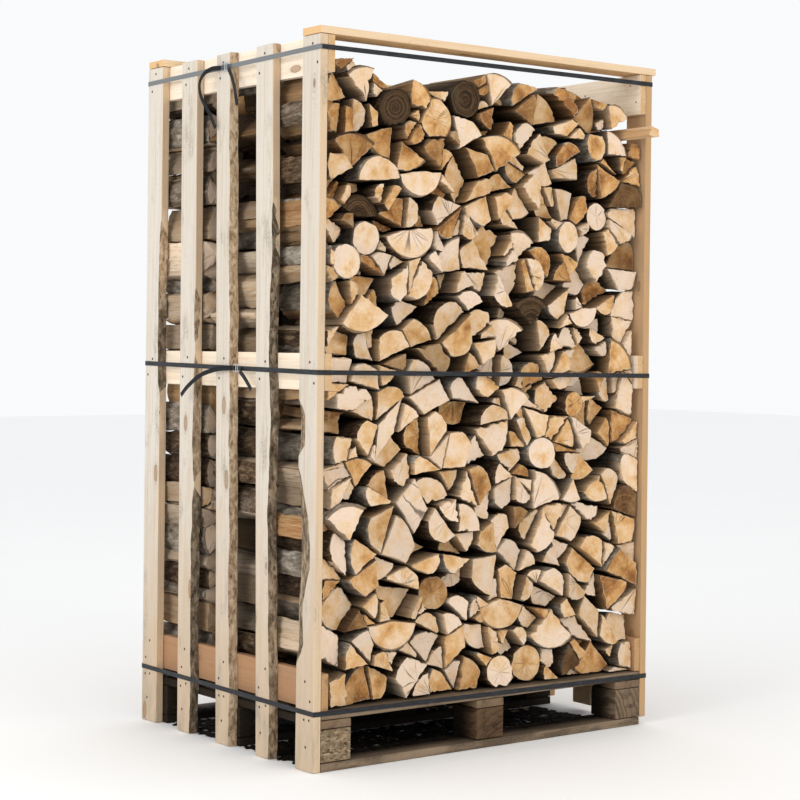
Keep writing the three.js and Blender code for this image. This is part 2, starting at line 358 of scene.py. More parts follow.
def log_finish():
    wood = Finish("log_wood")
    grain = wood.attribute("grain")
    across, up = wood.parts(grain)[:2]
    hue, dark, chance = wood.parts(wood.attribute("tone"))
    kind = wood.attribute("kind", "Fac")
    radius = wood.attribute("log_radius", "Fac")
    # The painted shade deep in the stack.
    sunk = wood.attribute("sunk", "Fac")
    edge = wood.attribute("rim", "Fac")
    other = (chance * 13.7).math("FRACT")
    far = (across * across + up * up) ** 0.5
    share = far / radius

    # The sawn end: colour from the hue, then rings, stains, saw marks, cracks and a rim of bark.
    warp = wood.noise(wood.stretched(grain, (0.03, 0.03, 0.2)), 2, 0.5)
    rings = wood.noise(wood.join(far * 300 + warp * 3, chance * 40, 0.0), 2, 0.5)
    patch = wood.noise(wood.stretched(grain, (0.022, 0.022, 0.1)), 5, 0.68)
    cloud = wood.noise(wood.stretched(grain, (0.060, 0.060, 0.2)), 2, 0.5)
    saw = wood.noise(wood.stretched(grain, (0.0022, 0.030, 0.05)), 3, 0.7)
    speck = wood.noise(wood.stretched(grain, (0.0035, 0.0035, 0.02)), 3, 0.7)
    heart = share.step(0.72, 0.50) * other.step(0.52, 0.60)
    tint = hue - 0.09 + (patch - 0.5) * 0.85 + (cloud - 0.5) * 1.1 + heart * 0.16
    end = wood.ramp(tint, [(0.0, (0.88, 0.695, 0.54)), (0.20, (0.87, 0.645, 0.435)),
                           (0.40, (0.81, 0.535, 0.285)), (0.60, (0.70, 0.395, 0.150)),
                           (0.80, (0.50, 0.235, 0.068)), (1.0, (0.29, 0.12, 0.033))])
    end = wood.mix(end, (0.42, 0.225, 0.105), rings.step(0.52, 0.82) * 0.24)
    stain = wood.noise(wood.stretched(grain, (0.010, 0.010, 0.06)), 5, 0.7, 0.4)
    end = wood.mix(end, (0.30, 0.155, 0.066), stain.step(0.56, 0.76) * 0.42)
    end = wood.mix(end, SAWDUST, stain.step(0.46, 0.26) * 0.40)
    end = wood.mix(end, SAWDUST, saw.step(0.52, 0.82) * 0.34)
    end = wood.mix(end, (0.20, 0.100, 0.042), speck.step(0.58, 0.80) * 0.42)
    angle = up.math("ARCTAN2", across)
    check_line = wood.noise(wood.join(angle * 1.3 + warp * 0.15, chance * 60, far * 2), 1, 0.4)
    check = (check_line - 0.5).math("ABSOLUTE").step(0.010, 0.002)
    check = check * share.step(0.95, 0.35) * other.step(0.30, 0.26)
    end = wood.mix(end, (0.07, 0.042, 0.024), check * 0.75)
    crust_ring = (share + warp * 0.06).step(0.965, 0.995)
    end = wood.mix(end, (0.11, 0.068, 0.040), crust_ring * 0.8)
    splinter = edge.step(0.93, 0.99) * speck.step(0.40, 0.52) * (1 - crust_ring)
    end = wood.mix(end, (0.84, 0.71, 0.55), splinter * 0.6)

    # The split side, with torn threads along the log.
    thread = wood.noise(wood.stretched(grain, (0.0045, 0.0045, 0.12)), 4, 0.68, 0.9)
    strand = wood.noise(wood.stretched(grain, (0.012, 0.012, 0.3)), 3, 0.6)
    side = wood.ramp(hue * 0.7 + 0.04 + (strand - 0.5) * 0.7,
                     [(0.0, (0.90, 0.73, 0.55)), (0.4, (0.72, 0.46, 0.235)),
                      (0.7, (0.44, 0.22, 0.085)), (1.0, (0.18, 0.082, 0.030))])
    side = wood.mix(side, (0.15, 0.075, 0.032), thread.step(0.52, 0.72) * 0.6)
    side = wood.mix(side, (0.92, 0.77, 0.58), thread.step(0.44, 0.26) * 0.6)
    side = wood.mix(side, (0.070, 0.040, 0.020), other.step(0.66, 0.92) * 0.55)

    # The bark: rough and brown on some logs, smooth and grey on others.
    crust = wood.noise(wood.stretched(grain, (0.011, 0.011, 0.035)), 5, 0.68, 0.7)
    lichen = wood.noise(wood.stretched(grain, (0.030, 0.030, 0.06)), 4, 0.6)
    rough_bark = wood.ramp(crust, [(0.30, (0.018, 0.010, 0.006)), (0.5, (0.115, 0.070, 0.040)),
                                   (0.70, (0.34, 0.235, 0.145))])
    smooth_bark = wood.ramp(lichen * 0.55 + crust * 0.45,
                            [(0.34, (0.060, 0.045, 0.031)), (0.5, (0.33, 0.275, 0.21)),
                             (0.64, (0.74, 0.67, 0.57))])
    bark = wood.mix(rough_bark, smooth_bark, other.step(0.42, 0.52))

    # Each face takes its own kind, with painted shade deep in the stack, darker too on logs that went black.
    is_side = kind.step(0.4, 0.6)
    is_bark = kind.step(1.4, 1.6)
    outside = wood.mix(wood.mix(side, bark, is_bark), DEEP_SHADE, sunk ** 0.7 * 0.96)
    end = wood.mix(end, DEEP_SHADE, sunk * 0.92)
    colour = wood.mix(end, outside, is_side)
    soot = wood.ramp(patch * 0.25 + rings * 0.5 + speck * 0.25,
                     [(0.36, (0.010, 0.006, 0.004)), (0.50, (0.032, 0.019, 0.010)),
                      (0.66, (0.17, 0.100, 0.052))])
    colour = wood.mix(colour, soot, dark * (0.9 + patch * 0.2))
    end_height = saw * 0.6 + speck * 0.4 - check * 1.2
    side_height = thread * 1.6 + strand * 1.4
    height = end_height * (1 - is_side) + (side_height * (1 - is_bark) + crust * 3.2 * is_bark) * is_side
    return wood.finish(colour, 0.74 + speck * 0.18, height, 0.0016)


log_wood = log_finish()

# %% [markdown]
# ## Strapping and wire
# The straps are extruded plastic with a fine pressed diamond pattern and a soft sheen, scuffed a little
# along the flats; the top strap's run along the left slats has a painted sheen, and the loose ends are
# blacker. The buckles are galvanised wire, so they get metal with a mottled roughness. The nails are the
# same wire gone dull and brown.

# %% Strap plastic, buckle wire and nails
PRESS_WAVES = 2400
# The colour of the painted sheen on the top strap's run along the left slats.
STRAP_SHEEN = (0.21, 0.225, 0.235)


def strap_finish(name, shine, low, high):
    """Low and high are the plastic's colours; the top strap gets a painted sheen where it crosses the left
    slats.
    """
    plastic = Finish(name, shine)
    place = plastic.place()
    x, y, z = plastic.parts(place)
    run = x + y
    press = ((run + z) * PRESS_WAVES).math("SINE") * ((run - z) * PRESS_WAVES).math("SINE")
    scuff = plastic.noise(plastic.stretched(place, (0.03, 0.03, 0.004)), 4, 0.65)
    colour = plastic.mix(low, high, scuff.step(0.42, 0.78) * 0.6)
    # Painted sheen: the top strap's run along the left slats is made paler.
    painted_sheen = z.step(1.69, 1.71) * x.step(-0.555, -0.559) * x.step(-0.566, -0.564)
    colour = plastic.mix(colour, STRAP_SHEEN, painted_sheen * 0.8)
    return plastic.finish(colour, 0.36 + scuff * 0.25, press * 0.3 + scuff, 0.0003)


def wire_finish(name, bright, dull):
    wire = Finish(name, 0.5)
    place = wire.place()
    spangle = wire.noise(wire.stretched(place, (0.002, 0.002, 0.002)), 3, 0.6)
    colour = wire.mix(bright, dull, spangle.step(0.45, 0.7))
    wire.shader.inputs["Metallic"].default_value = 1.0
    return wire.finish(colour, 0.28 + spangle * 0.3, spangle, 0.0002)


strap_plastic = strap_finish("strap_plastic", 0.28, (0.010, 0.011, 0.014), (0.060, 0.066, 0.078))
tail_plastic = strap_finish("tail_plastic", 0.20, (0.003, 0.0035, 0.005), (0.018, 0.020, 0.025))
buckle_steel = wire_finish("buckle_steel", (0.62, 0.63, 0.65), (0.40, 0.41, 0.43))
nail_steel = wire_finish("nail_steel", (0.10, 0.085, 0.075), (0.055, 0.040, 0.032))

# %% [markdown]
# ## Laying a row of logs
# Stacked split wood packs tightly: flat split sides lie against each other and the round bark sides
# leave dark three-cornered gaps. A triangle mesh has the same character. So we first set down the logs
# that are easy to recognise, then scatter points over what is left of the row's front, join everything
# into triangles, merge some neighbours into four-sided cells, and cut one log from each cell: a wedge
# whose pith is at a corner, or a half log whose pith is on a side.

# %% Sizes of the stack
STACK_FOOT = 0.1505
STACK_SIDE = 0.533
RAIL_SIDE = 0.512
RAIL_BANDS = [(0.145, 0.243), (0.927, 1.025), (1.687, 1.80)]
ROW_TOPS = {
    "front": [(-0.536, 1.738), (-0.44, 1.752), (-0.376, 1.744), (-0.318, 1.697), (-0.236, 1.702),
              (-0.165, 1.690), (-0.098, 1.730), (-0.02, 1.749), (0.118, 1.741), (0.33, 1.748),
              (0.405, 1.716), (0.450, 1.694), (0.458, 1.612), (0.536, 1.612)],
    "middle": [(-0.536, 1.732), (-0.35, 1.748), (-0.19, 1.718), (-0.04, 1.740), (0.16, 1.746),
               (0.34, 1.724), (0.536, 1.708)],
    "back": [(-0.536, 1.738), (-0.38, 1.724), (-0.21, 1.746), (0.0, 1.732), (0.19, 1.748),
             (0.36, 1.726), (0.536, 1.734)],
}


def row_top(row, x):
    line = ROW_TOPS[row]
    return np.interp(x, [point[0] for point in line], [point[1] for point in line])


# %% Cutting convex outlines
POINTS_A_SIDE = 24


def cut_half(outline, point, normal):
    """The part of a convex outline on the side that normal points away from."""
    kept = []
    for here, there in zip(outline, np.roll(outline, -1, axis=0)):
        side_here = (here - point) @ normal
        side_there = (there - point) @ normal
        if side_here <= 0:
            kept.append(here)
        if side_here * side_there < 0:
            kept.append(here + (there - here) * side_here / (side_here - side_there))
    return np.array(kept).reshape(-1, 2)


def inset(outline, gap):
    """Every side moved in by gap; the outline runs counter-clockwise."""
    result = outline
    for here, there in zip(outline, np.roll(outline, -1, axis=0)):
        along = (there - here) / max(np.linalg.norm(there - here), 1e-9)
        inward = np.array([-along[1], along[0]])
        result = cut_half(result, here + inward * gap, -inward)
        if len(result) < 3:
            break
    return result


def draw_in(outline, pith, radius):
    """A convex outline, with many points a side, drawn in to a disc round a pith that it holds."""
    ahead = np.roll(outline, -1, axis=0) - outline
    steps = np.linspace(0, 1, POINTS_A_SIDE, endpoint=False)[None, :, None]
    fine = (outline[:, None] + ahead[:, None] * steps).reshape(-1, 2)
    away = fine - pith
    reach = np.maximum(np.linalg.norm(away, axis=1), 1e-6)
    return pith + away * np.minimum(1, radius / reach)[:, None]


def area_of(outline):
    after = np.roll(outline, -1, axis=0)
    return 0.5 * float(np.sum(outline[:, 0] * after[:, 1] - outline[:, 1] * after[:, 0]))


def outward_normals(outline):
    ahead = np.roll(outline, -1, axis=0) - outline
    normals = np.column_stack([ahead[:, 1], -ahead[:, 0]])
    return normals / np.maximum(np.linalg.norm(normals, axis=1), 1e-9)[:, None]


# %% Outlines of logs that are set down one by one
ROUND, HALF = 360, 165
LOG_SIDES = 30
TRUNK_POINTS = 48
TEST_CORNERS = 24
SMALLEST_LOG = 0.0005  # square metres


def even_outline(outline, count=LOG_SIDES):
    """The outline as count points, evenly spaced, with its true corners kept."""
    after = np.roll(outline, -1, axis=0)
    lengths = np.linalg.norm(after - outline, axis=1)
    walked = np.concatenate([[0], np.cumsum(lengths)])
    stops = np.linspace(0, walked[-1], count, endpoint=False)
    closed = np.vstack([outline, outline[:1]])
    even = np.column_stack([np.interp(stops, walked, closed[:, axis]) for axis in (0, 1)])
    ahead = after - outline
    behind = outline - np.roll(outline, 1, axis=0)
    turn = np.arctan2(np.cross(behind, ahead), (behind * ahead).sum(axis=1))
    for corner in np.flatnonzero(np.abs(turn) > 0.3):
        gap = np.abs(stops - walked[corner])
        gap = np.minimum(gap, walked[-1] - gap)
        even[int(np.argmin(gap))] = outline[corner]
    return even


def set_outline(chance, x, z, radius, bark, opening):
    """(outline, pith) of a log split from a trunk: bark is where its bark looks, in degrees."""
    pith = np.array([x, z])
    turn = np.linspace(0, 2 * math.pi, TRUNK_POINTS, endpoint=False)
    bumps = 1 + 0.03 * np.sin(2 * turn + chance.uniform(0, 6))
    bumps = bumps + 0.02 * np.sin(3 * turn + chance.uniform(0, 6))
    outline = pith + np.column_stack([np.cos(turn), np.sin(turn)]) * (radius * bumps)[:, None]
    if opening < ROUND:
        for side in (-1, 1):
            cut = math.radians(bark + side * (opening / 2 + 90))
            outline = cut_half(outline, pith, np.array([math.cos(cut), math.sin(cut)]))
    for side in (-1, 1):
        outline = cut_half(outline, np.array([side * STACK_SIDE, 0.0]), np.array([side, 0.0]))
    return cut_half(outline, np.array([0.0, STACK_FOOT]), np.array([0.0, -1.0])), pith


def part_neighbours(outlines, gap=0.0012):
    """Cuts outlines that overlap along the line between them."""
    for first in range(len(outlines)):
        for second in range(first + 1, len(outlines)):
            one, two = outlines[first], outlines[second]
            if len(one) < 3 or len(two) < 3:
                continue
            if (one.min(axis=0) > two.max(axis=0)).any() or (two.min(axis=0) > one.max(axis=0)).any():
                continue
            normals = np.vstack([outward_normals(one), -outward_normals(two)])
            ends = (one @ normals.T).max(axis=0)
            starts = (two @ normals.T).min(axis=0)
            best = int(np.argmin(ends - starts))
            if ends[best] < starts[best] - 2 * gap:
                continue
            normal, line = normals[best], (ends[best] + starts[best]) / 2
            outlines[first] = cut_half(one, normal * (line - gap), normal)
            outlines[second] = cut_half(two, normal * (line + gap), -normal)
    return outlines


def sides_of(outlines):
    """The corners and outward normals of many convex outlines, as two arrays."""
    corners = np.array([even_outline(outline, TEST_CORNERS) for outline in outlines])
    corners = corners.reshape(-1, TEST_CORNERS, 2)
    ahead = np.roll(corners, -1, axis=1) - corners
    normals = np.stack([ahead[..., 1], -ahead[..., 0]], axis=-1)
    return corners, normals / np.maximum(np.linalg.norm(normals, axis=-1, keepdims=True), 1e-9)


def clearance(sides, place):
    """How far a place is from the nearest of many convex outlines; below 0 inside one."""
    corners, normals = sides
    return float(((place - corners) * normals).sum(axis=-1).max(axis=-1).min(initial=1.0))


# %% Points of a row
RING_POINTS = 9
TRIES = 9000
# How far apart points are (m): on a log already set, along the row's edges, and elsewhere by chance.
SET_SPACE = 0.05
EDGE_SPACE = 0.075
SPACES = [0.056, 0.072, 0.086, 0.102]
SPACE_SHARES = [0.26, 0.34, 0.27, 0.13]


def edge_places(chance, row):
    """Places along the sides, the foot and the top of a row."""
    places = []
    for side in (-STACK_SIDE, STACK_SIDE):
        z = STACK_FOOT
        while z < row_top(row, side) - 0.03:
            places.append((side, z))
            z += chance.uniform(0.05, 0.10)
    x = -STACK_SIDE + 0.08
    while x < STACK_SIDE - 0.05:
        places.append((x, STACK_FOOT))
        x += chance.uniform(0.055, 0.10)
    x = -STACK_SIDE
    while x < STACK_SIDE + 0.03:
        places.append((min(x, STACK_SIDE), row_top(row, min(x, STACK_SIDE))))
        x += chance.uniform(0.055, 0.10)
    return places


def scatter_points(chance, row, fixed):
    """Points along the row's edges, on the logs already set and between them, and the set logs' sides."""
    points, spaces, sides = [], [], []
    set_sides = sides_of(fixed)

    def put(x, z, space):
        points.append((x, z))
        spaces.append(space)

    for outline in fixed:
        first = len(points)
        for x, z in even_outline(outline, RING_POINTS):
            put(x, z, SET_SPACE)
        sides += [(first + i, first + (i + 1) % RING_POINTS) for i in range(RING_POINTS)]
    for x, z in edge_places(chance, row):
        if clearance(set_sides, np.array([x, z])) > 0.012:
            put(x, z, EDGE_SPACE)
    for attempt in range(TRIES):
        x = chance.uniform(-STACK_SIDE, STACK_SIDE)
        z = chance.uniform(STACK_FOOT, 1.75)
        space = chance.choice(SPACES, p=SPACE_SHARES)
        if z > row_top(row, x) - 0.038:
            continue
        place = np.array(points)
        away = np.hypot(place[:, 0] - x, place[:, 1] - z)
        if (away < 0.5 * (np.array(spaces) + space)).any():
            continue
        if clearance(set_sides, np.array([x, z])) > 0.026:
            put(x, z, space)
    return points, sides


# %% The cells between the points
LARGEST_CELL = 0.0115  # square metres


def row_triangles(chance, row, fixed):
    """(places, triangles) between the logs already set; each triangle runs counter-clockwise."""
    points, sides = scatter_points(chance, row, fixed)
    corners, _, faces, _, _, _ = delaunay_2d_cdt([Vector(p) for p in points], sides, [], 0, 1e-6)
    place = np.array([tuple(corner) for corner in corners])
    set_sides = sides_of(fixed)
    triangles = []
    for face in faces:
        outline = place[list(face)]
        middle = outline.mean(axis=0)
        if middle[1] > row_top(row, middle[0]) or abs(area_of(outline)) < 0.00025:
            continue
        if clearance(set_sides, middle) < 0:
            continue
        triangles.append(list(face) if area_of(outline) > 0 else list(face)[::-1])
    return place, triangles


def row_cells(chance, row, fixed):
    """Triangles and merged pairs of triangles that fill a row, as counter-clockwise outlines."""
    place, triangles = row_triangles(chance, row, fixed)
    by_edge = {}
    for index, face in enumerate(triangles):
        for here, there in zip(face, face[1:] + face[:1]):
            by_edge[(here, there)] = index
    used = set()
    cells = []
    for index in chance.permutation(len(triangles)):
        if index in used:
            continue
        used.add(index)
        face = triangles[index]
        size = area_of(place[face])
        joined = None
        edges = sorted(zip(face, face[1:] + face[:1]), reverse=True,
                       key=lambda edge: np.linalg.norm(place[edge[0]] - place[edge[1]]))
        for here, there in edges:
            other = by_edge.get((there, here))
            if other is None or other in used:
                continue
            tip = [corner for corner in triangles[other] if corner not in (here, there)][0]
            start = face.index(there)
            turned = face[start:] + face[:start]
            four = place[turned + [tip]]
            together = size + area_of(place[triangles[other]])
            if together > LARGEST_CELL or (size > 0.0026 and chance.random() > 0.62):
                continue
            ahead = np.roll(four, -1, axis=0) - four
            bends = np.cross(ahead, np.roll(ahead, -1, axis=0))
            if (bends > 0.0003).all():
                joined = four
                used.add(other)
                break
        cells.append(joined if joined is not None else place[face])
    return cells


# %% One log from each cell
def corner_angle(outline, corner):
    back = outline[corner - 1] - outline[corner]
    ahead = outline[(corner + 1) % len(outline)] - outline[corner]
    return math.atan2(abs(np.cross(ahead, back)), ahead @ back)


def fill_share(cell, pith, share):
    """The disc round a pith that keeps a share of a cell's area."""
    low, high = 0.005, np.linalg.norm(cell - pith, axis=1).max()
    for attempt in range(12):
        radius = (low + high) / 2
        if area_of(draw_in(cell, pith, radius)) > share * area_of(cell):
            high = radius
        else:
            low = radius
    return draw_in(cell, pith, high), high


def side_log(chance, cell, ragged):
    """A log behind the slats, round or split side out; ragged is how unevenly they lie there."""
    middle = cell.mean(axis=0)
    outward = np.array([-1.0 if middle[0] < 0 else 1.0, 0.0])
    if chance.random() < 0.3 * (ragged - 0.5):
        return None
    depth = 0.06 * chance.random() ** 1.5 * ragged
    cell = middle + (cell - middle) * (1.03, 1.02 - 0.24 * chance.random() * ragged)
    cell = cut_half(cell, outward * (STACK_SIDE - depth), outward)
    luck = chance.random()
    if luck < 0.62 * min(1.0, ragged + 0.3):
        bulge = chance.uniform(0.036, 0.062) + (1 - ragged) * 0.06
        pith = np.array([outward[0] * (STACK_SIDE - depth - bulge), middle[1]])
        return draw_in(cell, pith, bulge), pith, bulge, "quarters"
    if luck < 0.66 and len(cell) > 2:
        pith = cell[int(chance.integers(len(cell)))]
        outline, radius = fill_share(cell, pith, chance.uniform(0.84, 0.94))
        return outline, pith, radius, "quarters"
    tilt = chance.normal(0, 0.6) * ragged
    face = np.array([outward[0] * math.cos(tilt), math.sin(tilt)])
    at_face = np.array([outward[0] * (STACK_SIDE - depth - 0.012 * abs(tilt)), middle[1]])
    return cut_half(cell, at_face, face), middle - outward * 0.12, 1.0, "splits"


def log_from_cell(chance, cell, ragged, slack):
    """(outline, pith, radius, sort of log) cut from a cell; slack is how loosely the row is stacked."""
    unevenness = ragged[0] if cell[:, 0].sum() < 0 else ragged[1]
    at_side = np.abs(cell[:, 0]).max() > STACK_SIDE - 0.01
    if at_side and unevenness is not None:
        return side_log(chance, cell, unevenness)
    cell = inset(cell, chance.uniform(0.0010, 0.0034) * slack)
    if len(cell) < 3 or area_of(cell) < SMALLEST_LOG:
        return None
    count = len(cell)
    lengths = np.linalg.norm(np.roll(cell, -1, axis=0) - cell, axis=1)
    angles = np.array([corner_angle(cell, corner) for corner in range(count)])
    luck = chance.random()
    share = min(chance.uniform(0.78, 0.91) + 0.14 * at_side, 0.98)
    if luck < 0.12:
        pith = cell.mean(axis=0) + chance.normal(0, 0.09, 2)
        return cell, pith, 1.0, "splits"
    longest = int(np.argmax(lengths))
    flat = (cell[longest] + cell[(longest + 1) % count]) / 2
    if count > 3 and luck < 0.62 and lengths[longest] > 1.1 * lengths.mean():
        outline, radius = fill_share(cell, flat, share)
        return outline, flat, radius, "halves"
    fits = np.exp(-((angles - 1.25) / 0.5) ** 2) + 0.02
    tip = int(chance.choice(count, p=fits / fits.sum()))
    outline, radius = fill_share(cell, cell[tip], share)
    return outline, cell[tip], radius, "quarters"


def roughen(chance, outline, amount, torn):
    """Waves and small tears along an outline, as an axe leaves them; torn is where it tore more."""
    out = outward_normals(np.roll(outline, 1, axis=0)) + outward_normals(outline)
    out /= np.maximum(np.linalg.norm(out, axis=1), 1e-9)[:, None]
    turn = np.linspace(0, 2 * math.pi, len(outline), endpoint=False)
    wave = sum(chance.normal(0, 1 / k) * np.sin(k * turn + chance.uniform(0, 6.3)) for k in range(2, 9))
    tear = np.minimum(chance.normal(0, 0.5, len(outline)), 0.3)
    return outline + out * ((wave * 0.9 + tear * (1 + 3 * torn)) * amount - amount)[:, None]


# %% [markdown]
# ## Growing a row
# A log's outline is carried along its length in six rings, or in ten where the log's side shows between
# the slats. The first and last are a little smaller and uneven, which gives the worn, splintered rim
# that a saw and an axe leave. No log is quite straight or level: each has its own bow, turn and depth in
# the stack, so the ends stand at different distances and show a strip of their sides. One more number
# grows with the distance from the front, the sides and the top of the stack, and darkens the colour
# there as painted shade, because less light gets in.

# %% Building the mesh of many logs
def new_piece(name, points, faces):
    """An object straight from arrays, which is the quick way to many small shapes."""
    mesh = bpy.data.meshes.new(name)
    mesh.from_pydata(points.tolist(), [], faces)
    piece = bpy.data.objects.new(name, mesh)
    bpy.context.collection.objects.link(piece)
    return piece


class LogPile:
    """Collects logs, then makes them one mesh."""

    def __init__(self):
        self.points, self.grain, self.tone = [], [], []
        self.numbers = {"log_radius": [], "sunk": [], "rim": []}
        self.faces, self.kinds = [], []
        self.size = 0
        self.count = 0

    def add(self, rings, pith, turn, radius, tone, barked, sunk):
        """rings: array (rings, sides, 3) from the front to the back, with the painted shade for each of its
        points.
        """
        count, sides, _ = rings.shape
        first = self.size
        middle = rings.mean(axis=1)
        points = np.vstack([rings.reshape(-1, 3), middle[:1], middle[-1:]])
        local = points[:, (0, 2)] - pith
        cos, sin = math.cos(turn), math.sin(turn)
        spun = local @ np.array([[cos, -sin], [sin, cos]])
        shift = tone[3]
        self.points.append(points)
        self.size += len(points)
        self.grain.append(np.column_stack([spun, points[:, 1] + shift]))
        self.tone.append(np.tile(tone[:3], (len(points), 1)))
        self.numbers["log_radius"].append(np.full(len(points), radius))
        self.numbers["sunk"].append(np.concatenate([sunk.ravel(), [sunk[0].min(), sunk[-1].min()]]))
        self.numbers["rim"].append(np.concatenate([np.ones(count * sides), [0, 0]]))
        for ring in range(count - 1):
            for side in range(sides):
                after = (side + 1) % sides
                low, high = first + ring * sides, first + (ring + 1) * sides
                self.faces.append((low + side, high + side, high + after, low + after))
                self.kinds.append(2.0 if barked[side] else 1.0)
        front, back = first + count * sides, first + count * sides + 1
        last = first + (count - 1) * sides
        for side in range(sides):
            after = (side + 1) % sides
            self.faces.append((front, first + side, first + after))
            self.faces.append((back, last + after, last + side))
            self.kinds += [0.0, 0.0]
        self.count += 1

    def make(self, name, node):
        piece = new_piece(name, np.vstack(self.points), self.faces)
        mesh = piece.data
        for label, values in (("grain", self.grain), ("tone", self.tone)):
            layer = mesh.attributes.new(label, "FLOAT_VECTOR", "POINT")
            layer.data.foreach_set("vector", np.vstack(values).astype(np.float32).ravel())
        for label, values in self.numbers.items():
            layer = mesh.attributes.new(label, "FLOAT", "POINT")
            layer.data.foreach_set("value", np.concatenate(values).astype(np.float32))
        layer = mesh.attributes.new("kind", "FLOAT", "FACE")
        layer.data.foreach_set("value", np.array(self.kinds, np.float32))
        mesh.materials.append(log_wood)
        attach(piece, "root")
        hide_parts(node)
        mesh.calc_loop_triangles()
        print(name, self.count, "logs", len(mesh.loop_triangles), "triangles")


# %% Placing one log in the stack
# How far light gets in (m): from a log's open end, from the sides and from the top.
DARK_DEPTH = 0.050
SIDE_LIGHT = 0.085
TOP_LIGHT = 0.090
# How far from a log's end (m) its worn rim and its rounded first stretch reach.
RIM_STEP = 0.0035
WORN_STEP = 0.022
BARK_SHARE = 0.955


def shelter(row, outline):
    """0 at the sides and the top of a row, where light gets in, and 1 well inside it."""
    from_side = (STACK_SIDE - np.abs(outline[:, 0])) / SIDE_LIGHT
    from_top = (row_top(row, outline[:, 0]) - outline[:, 1]) / TOP_LIGHT
    return np.clip(np.minimum(from_side, from_top), 0, 1) ** 0.7


def log_tone(chance, height, wanted=None):
    """(hue, darkness, chance, shift): redder and darker towards the top of the stack."""
    high = np.clip((height - 1.2) / 0.4, 0, 1)
    hue = np.clip(chance.beta(1.5, 2.7) + high * chance.uniform(0.06, 0.46), 0, 1)
    dark = 0.22 * chance.random() ** 2
    if chance.random() < 0.05 + 0.12 * high:
        hue, dark = chance.uniform(0.55, 0.95), chance.uniform(0.35, 0.80)
    if wanted is not None:
        hue, dark = wanted
    return (hue, dark, chance.random(), chance.uniform(0, 9))


def place_log(chance, pile, outline, pith, radius, near, length, tone, fixed, row=None, loose=1.0):
    """Carries an outline along the length of one log and adds it to a pile."""
    sides = (outline + np.roll(outline, -1, axis=0)) / 2
    barked = np.linalg.norm(sides - pith, axis=1) > BARK_SHARE * radius
    middle = outline.mean(axis=0)
    bulk = math.sqrt(area_of(outline))
    tears = (chance.random() < 0.35) * ~barked
    rough = roughen(chance, outline, (0.0014 if bulk > 0.05 else 0.0008) * (0.25 + 0.75 * loose), tears)
    slope = chance.normal(0, 0.07, 2)
    lean = chance.normal(0, 0.026, 2) * (0.2 + 0.8 * loose)
    bow = chance.normal(0, 0.0025, 2)
    shrink = {"front": (0.0, 0.08), "back": (0.08, 0.0), "both": (0.04, 0.04)}[fixed]
    inside = [0.2, 0.35, 0.5, 0.65, 0.8] if loose == 0 else [0.5]
    between = [share * length for share in inside]
    stops = np.array([0.0, RIM_STEP, WORN_STEP, *between, length - RIM_STEP, length])
    rings = []
    for stop in stops:
        share = stop / length
        at_end = stop in (stops[0], stops[-1])
        scale = 1 - loose * (shrink[0] * (1 - share) + shrink[1] * share)
        rim = chance.uniform(0.0004, 0.0030, len(rough)) if at_end else np.zeros(len(rough))
        away = rough - middle
        reach = np.maximum(np.linalg.norm(away, axis=1), 1e-6)
        flat = middle + away * (scale - rim / reach)[:, None]
        anchor = {"front": share, "back": share - 1, "both": share - 0.5}[fixed]
        flat = flat + lean * anchor * length + bow * math.sin(math.pi * share)
        flat = flat + away / reach[:, None] * chance.normal(0, 0.0016 * (loose == 0), len(rough))[:, None]
        tilt = (rough - middle) @ slope * (1 if share < 0.5 else -0.6)
        depth = near + stop + tilt
        if at_end:
            depth = depth + chance.normal(0, 0.0007, len(rough))
        rings.append(np.column_stack([flat[:, 0], depth, flat[:, 1]]))
    # Painted shade: darker with the distance from a log's open end and from the sides and top of the row.
    from_open = {"front": stops, "back": length - stops, "both": np.full(len(stops), length)}[fixed]
    by_end = 0.07 + 0.93 * np.minimum(1, from_open / DARK_DEPTH)
    covered = np.zeros(len(rough)) if row is None else shelter(row, rough)
    sunk = by_end[:, None] * covered[None, :]
    pile.add(np.array(rings), pith, chance.uniform(0, 6.28), radius, tone, barked, sunk)


def keep_clear_of_rails(outline):
    low, high = outline[:, 1].min(), outline[:, 1].max()
    if any(low < top and high > foot for foot, top in RAIL_BANDS):
        for side in (-1, 1):
            edge = np.array([side * RAIL_SIDE, 0.0])
            outline = cut_half(outline, edge, np.array([side, 0.0]))
    return outline


# %% [markdown]
# ## The three rows
# Seen from the front, some logs are easy to recognise: the dark round ones near the top, the pale round
# ones at the left, the orange ones, the big pale wedges. They are written down here as one would note
# them with a tape measure, to the nearest centimetre: where the pith is, how far the bark is from it,
# where the bark looks, how wide the log was split, and its colour. All the rest are left to chance, with
# a fixed seed so that every run gives the same stack.

# %% Logs that are easy to recognise
# Each colour is a hue from pale to red-brown and a darkness.
COLOURS = {"pale": (0.14, 0.0), "cream": (0.28, 0.0), "tan": (0.43, 0.02), "honey": (0.62, 0.02),
           "orange": (0.80, 0.0), "brown": (0.80, 0.32), "black": (0.75, 0.96)}
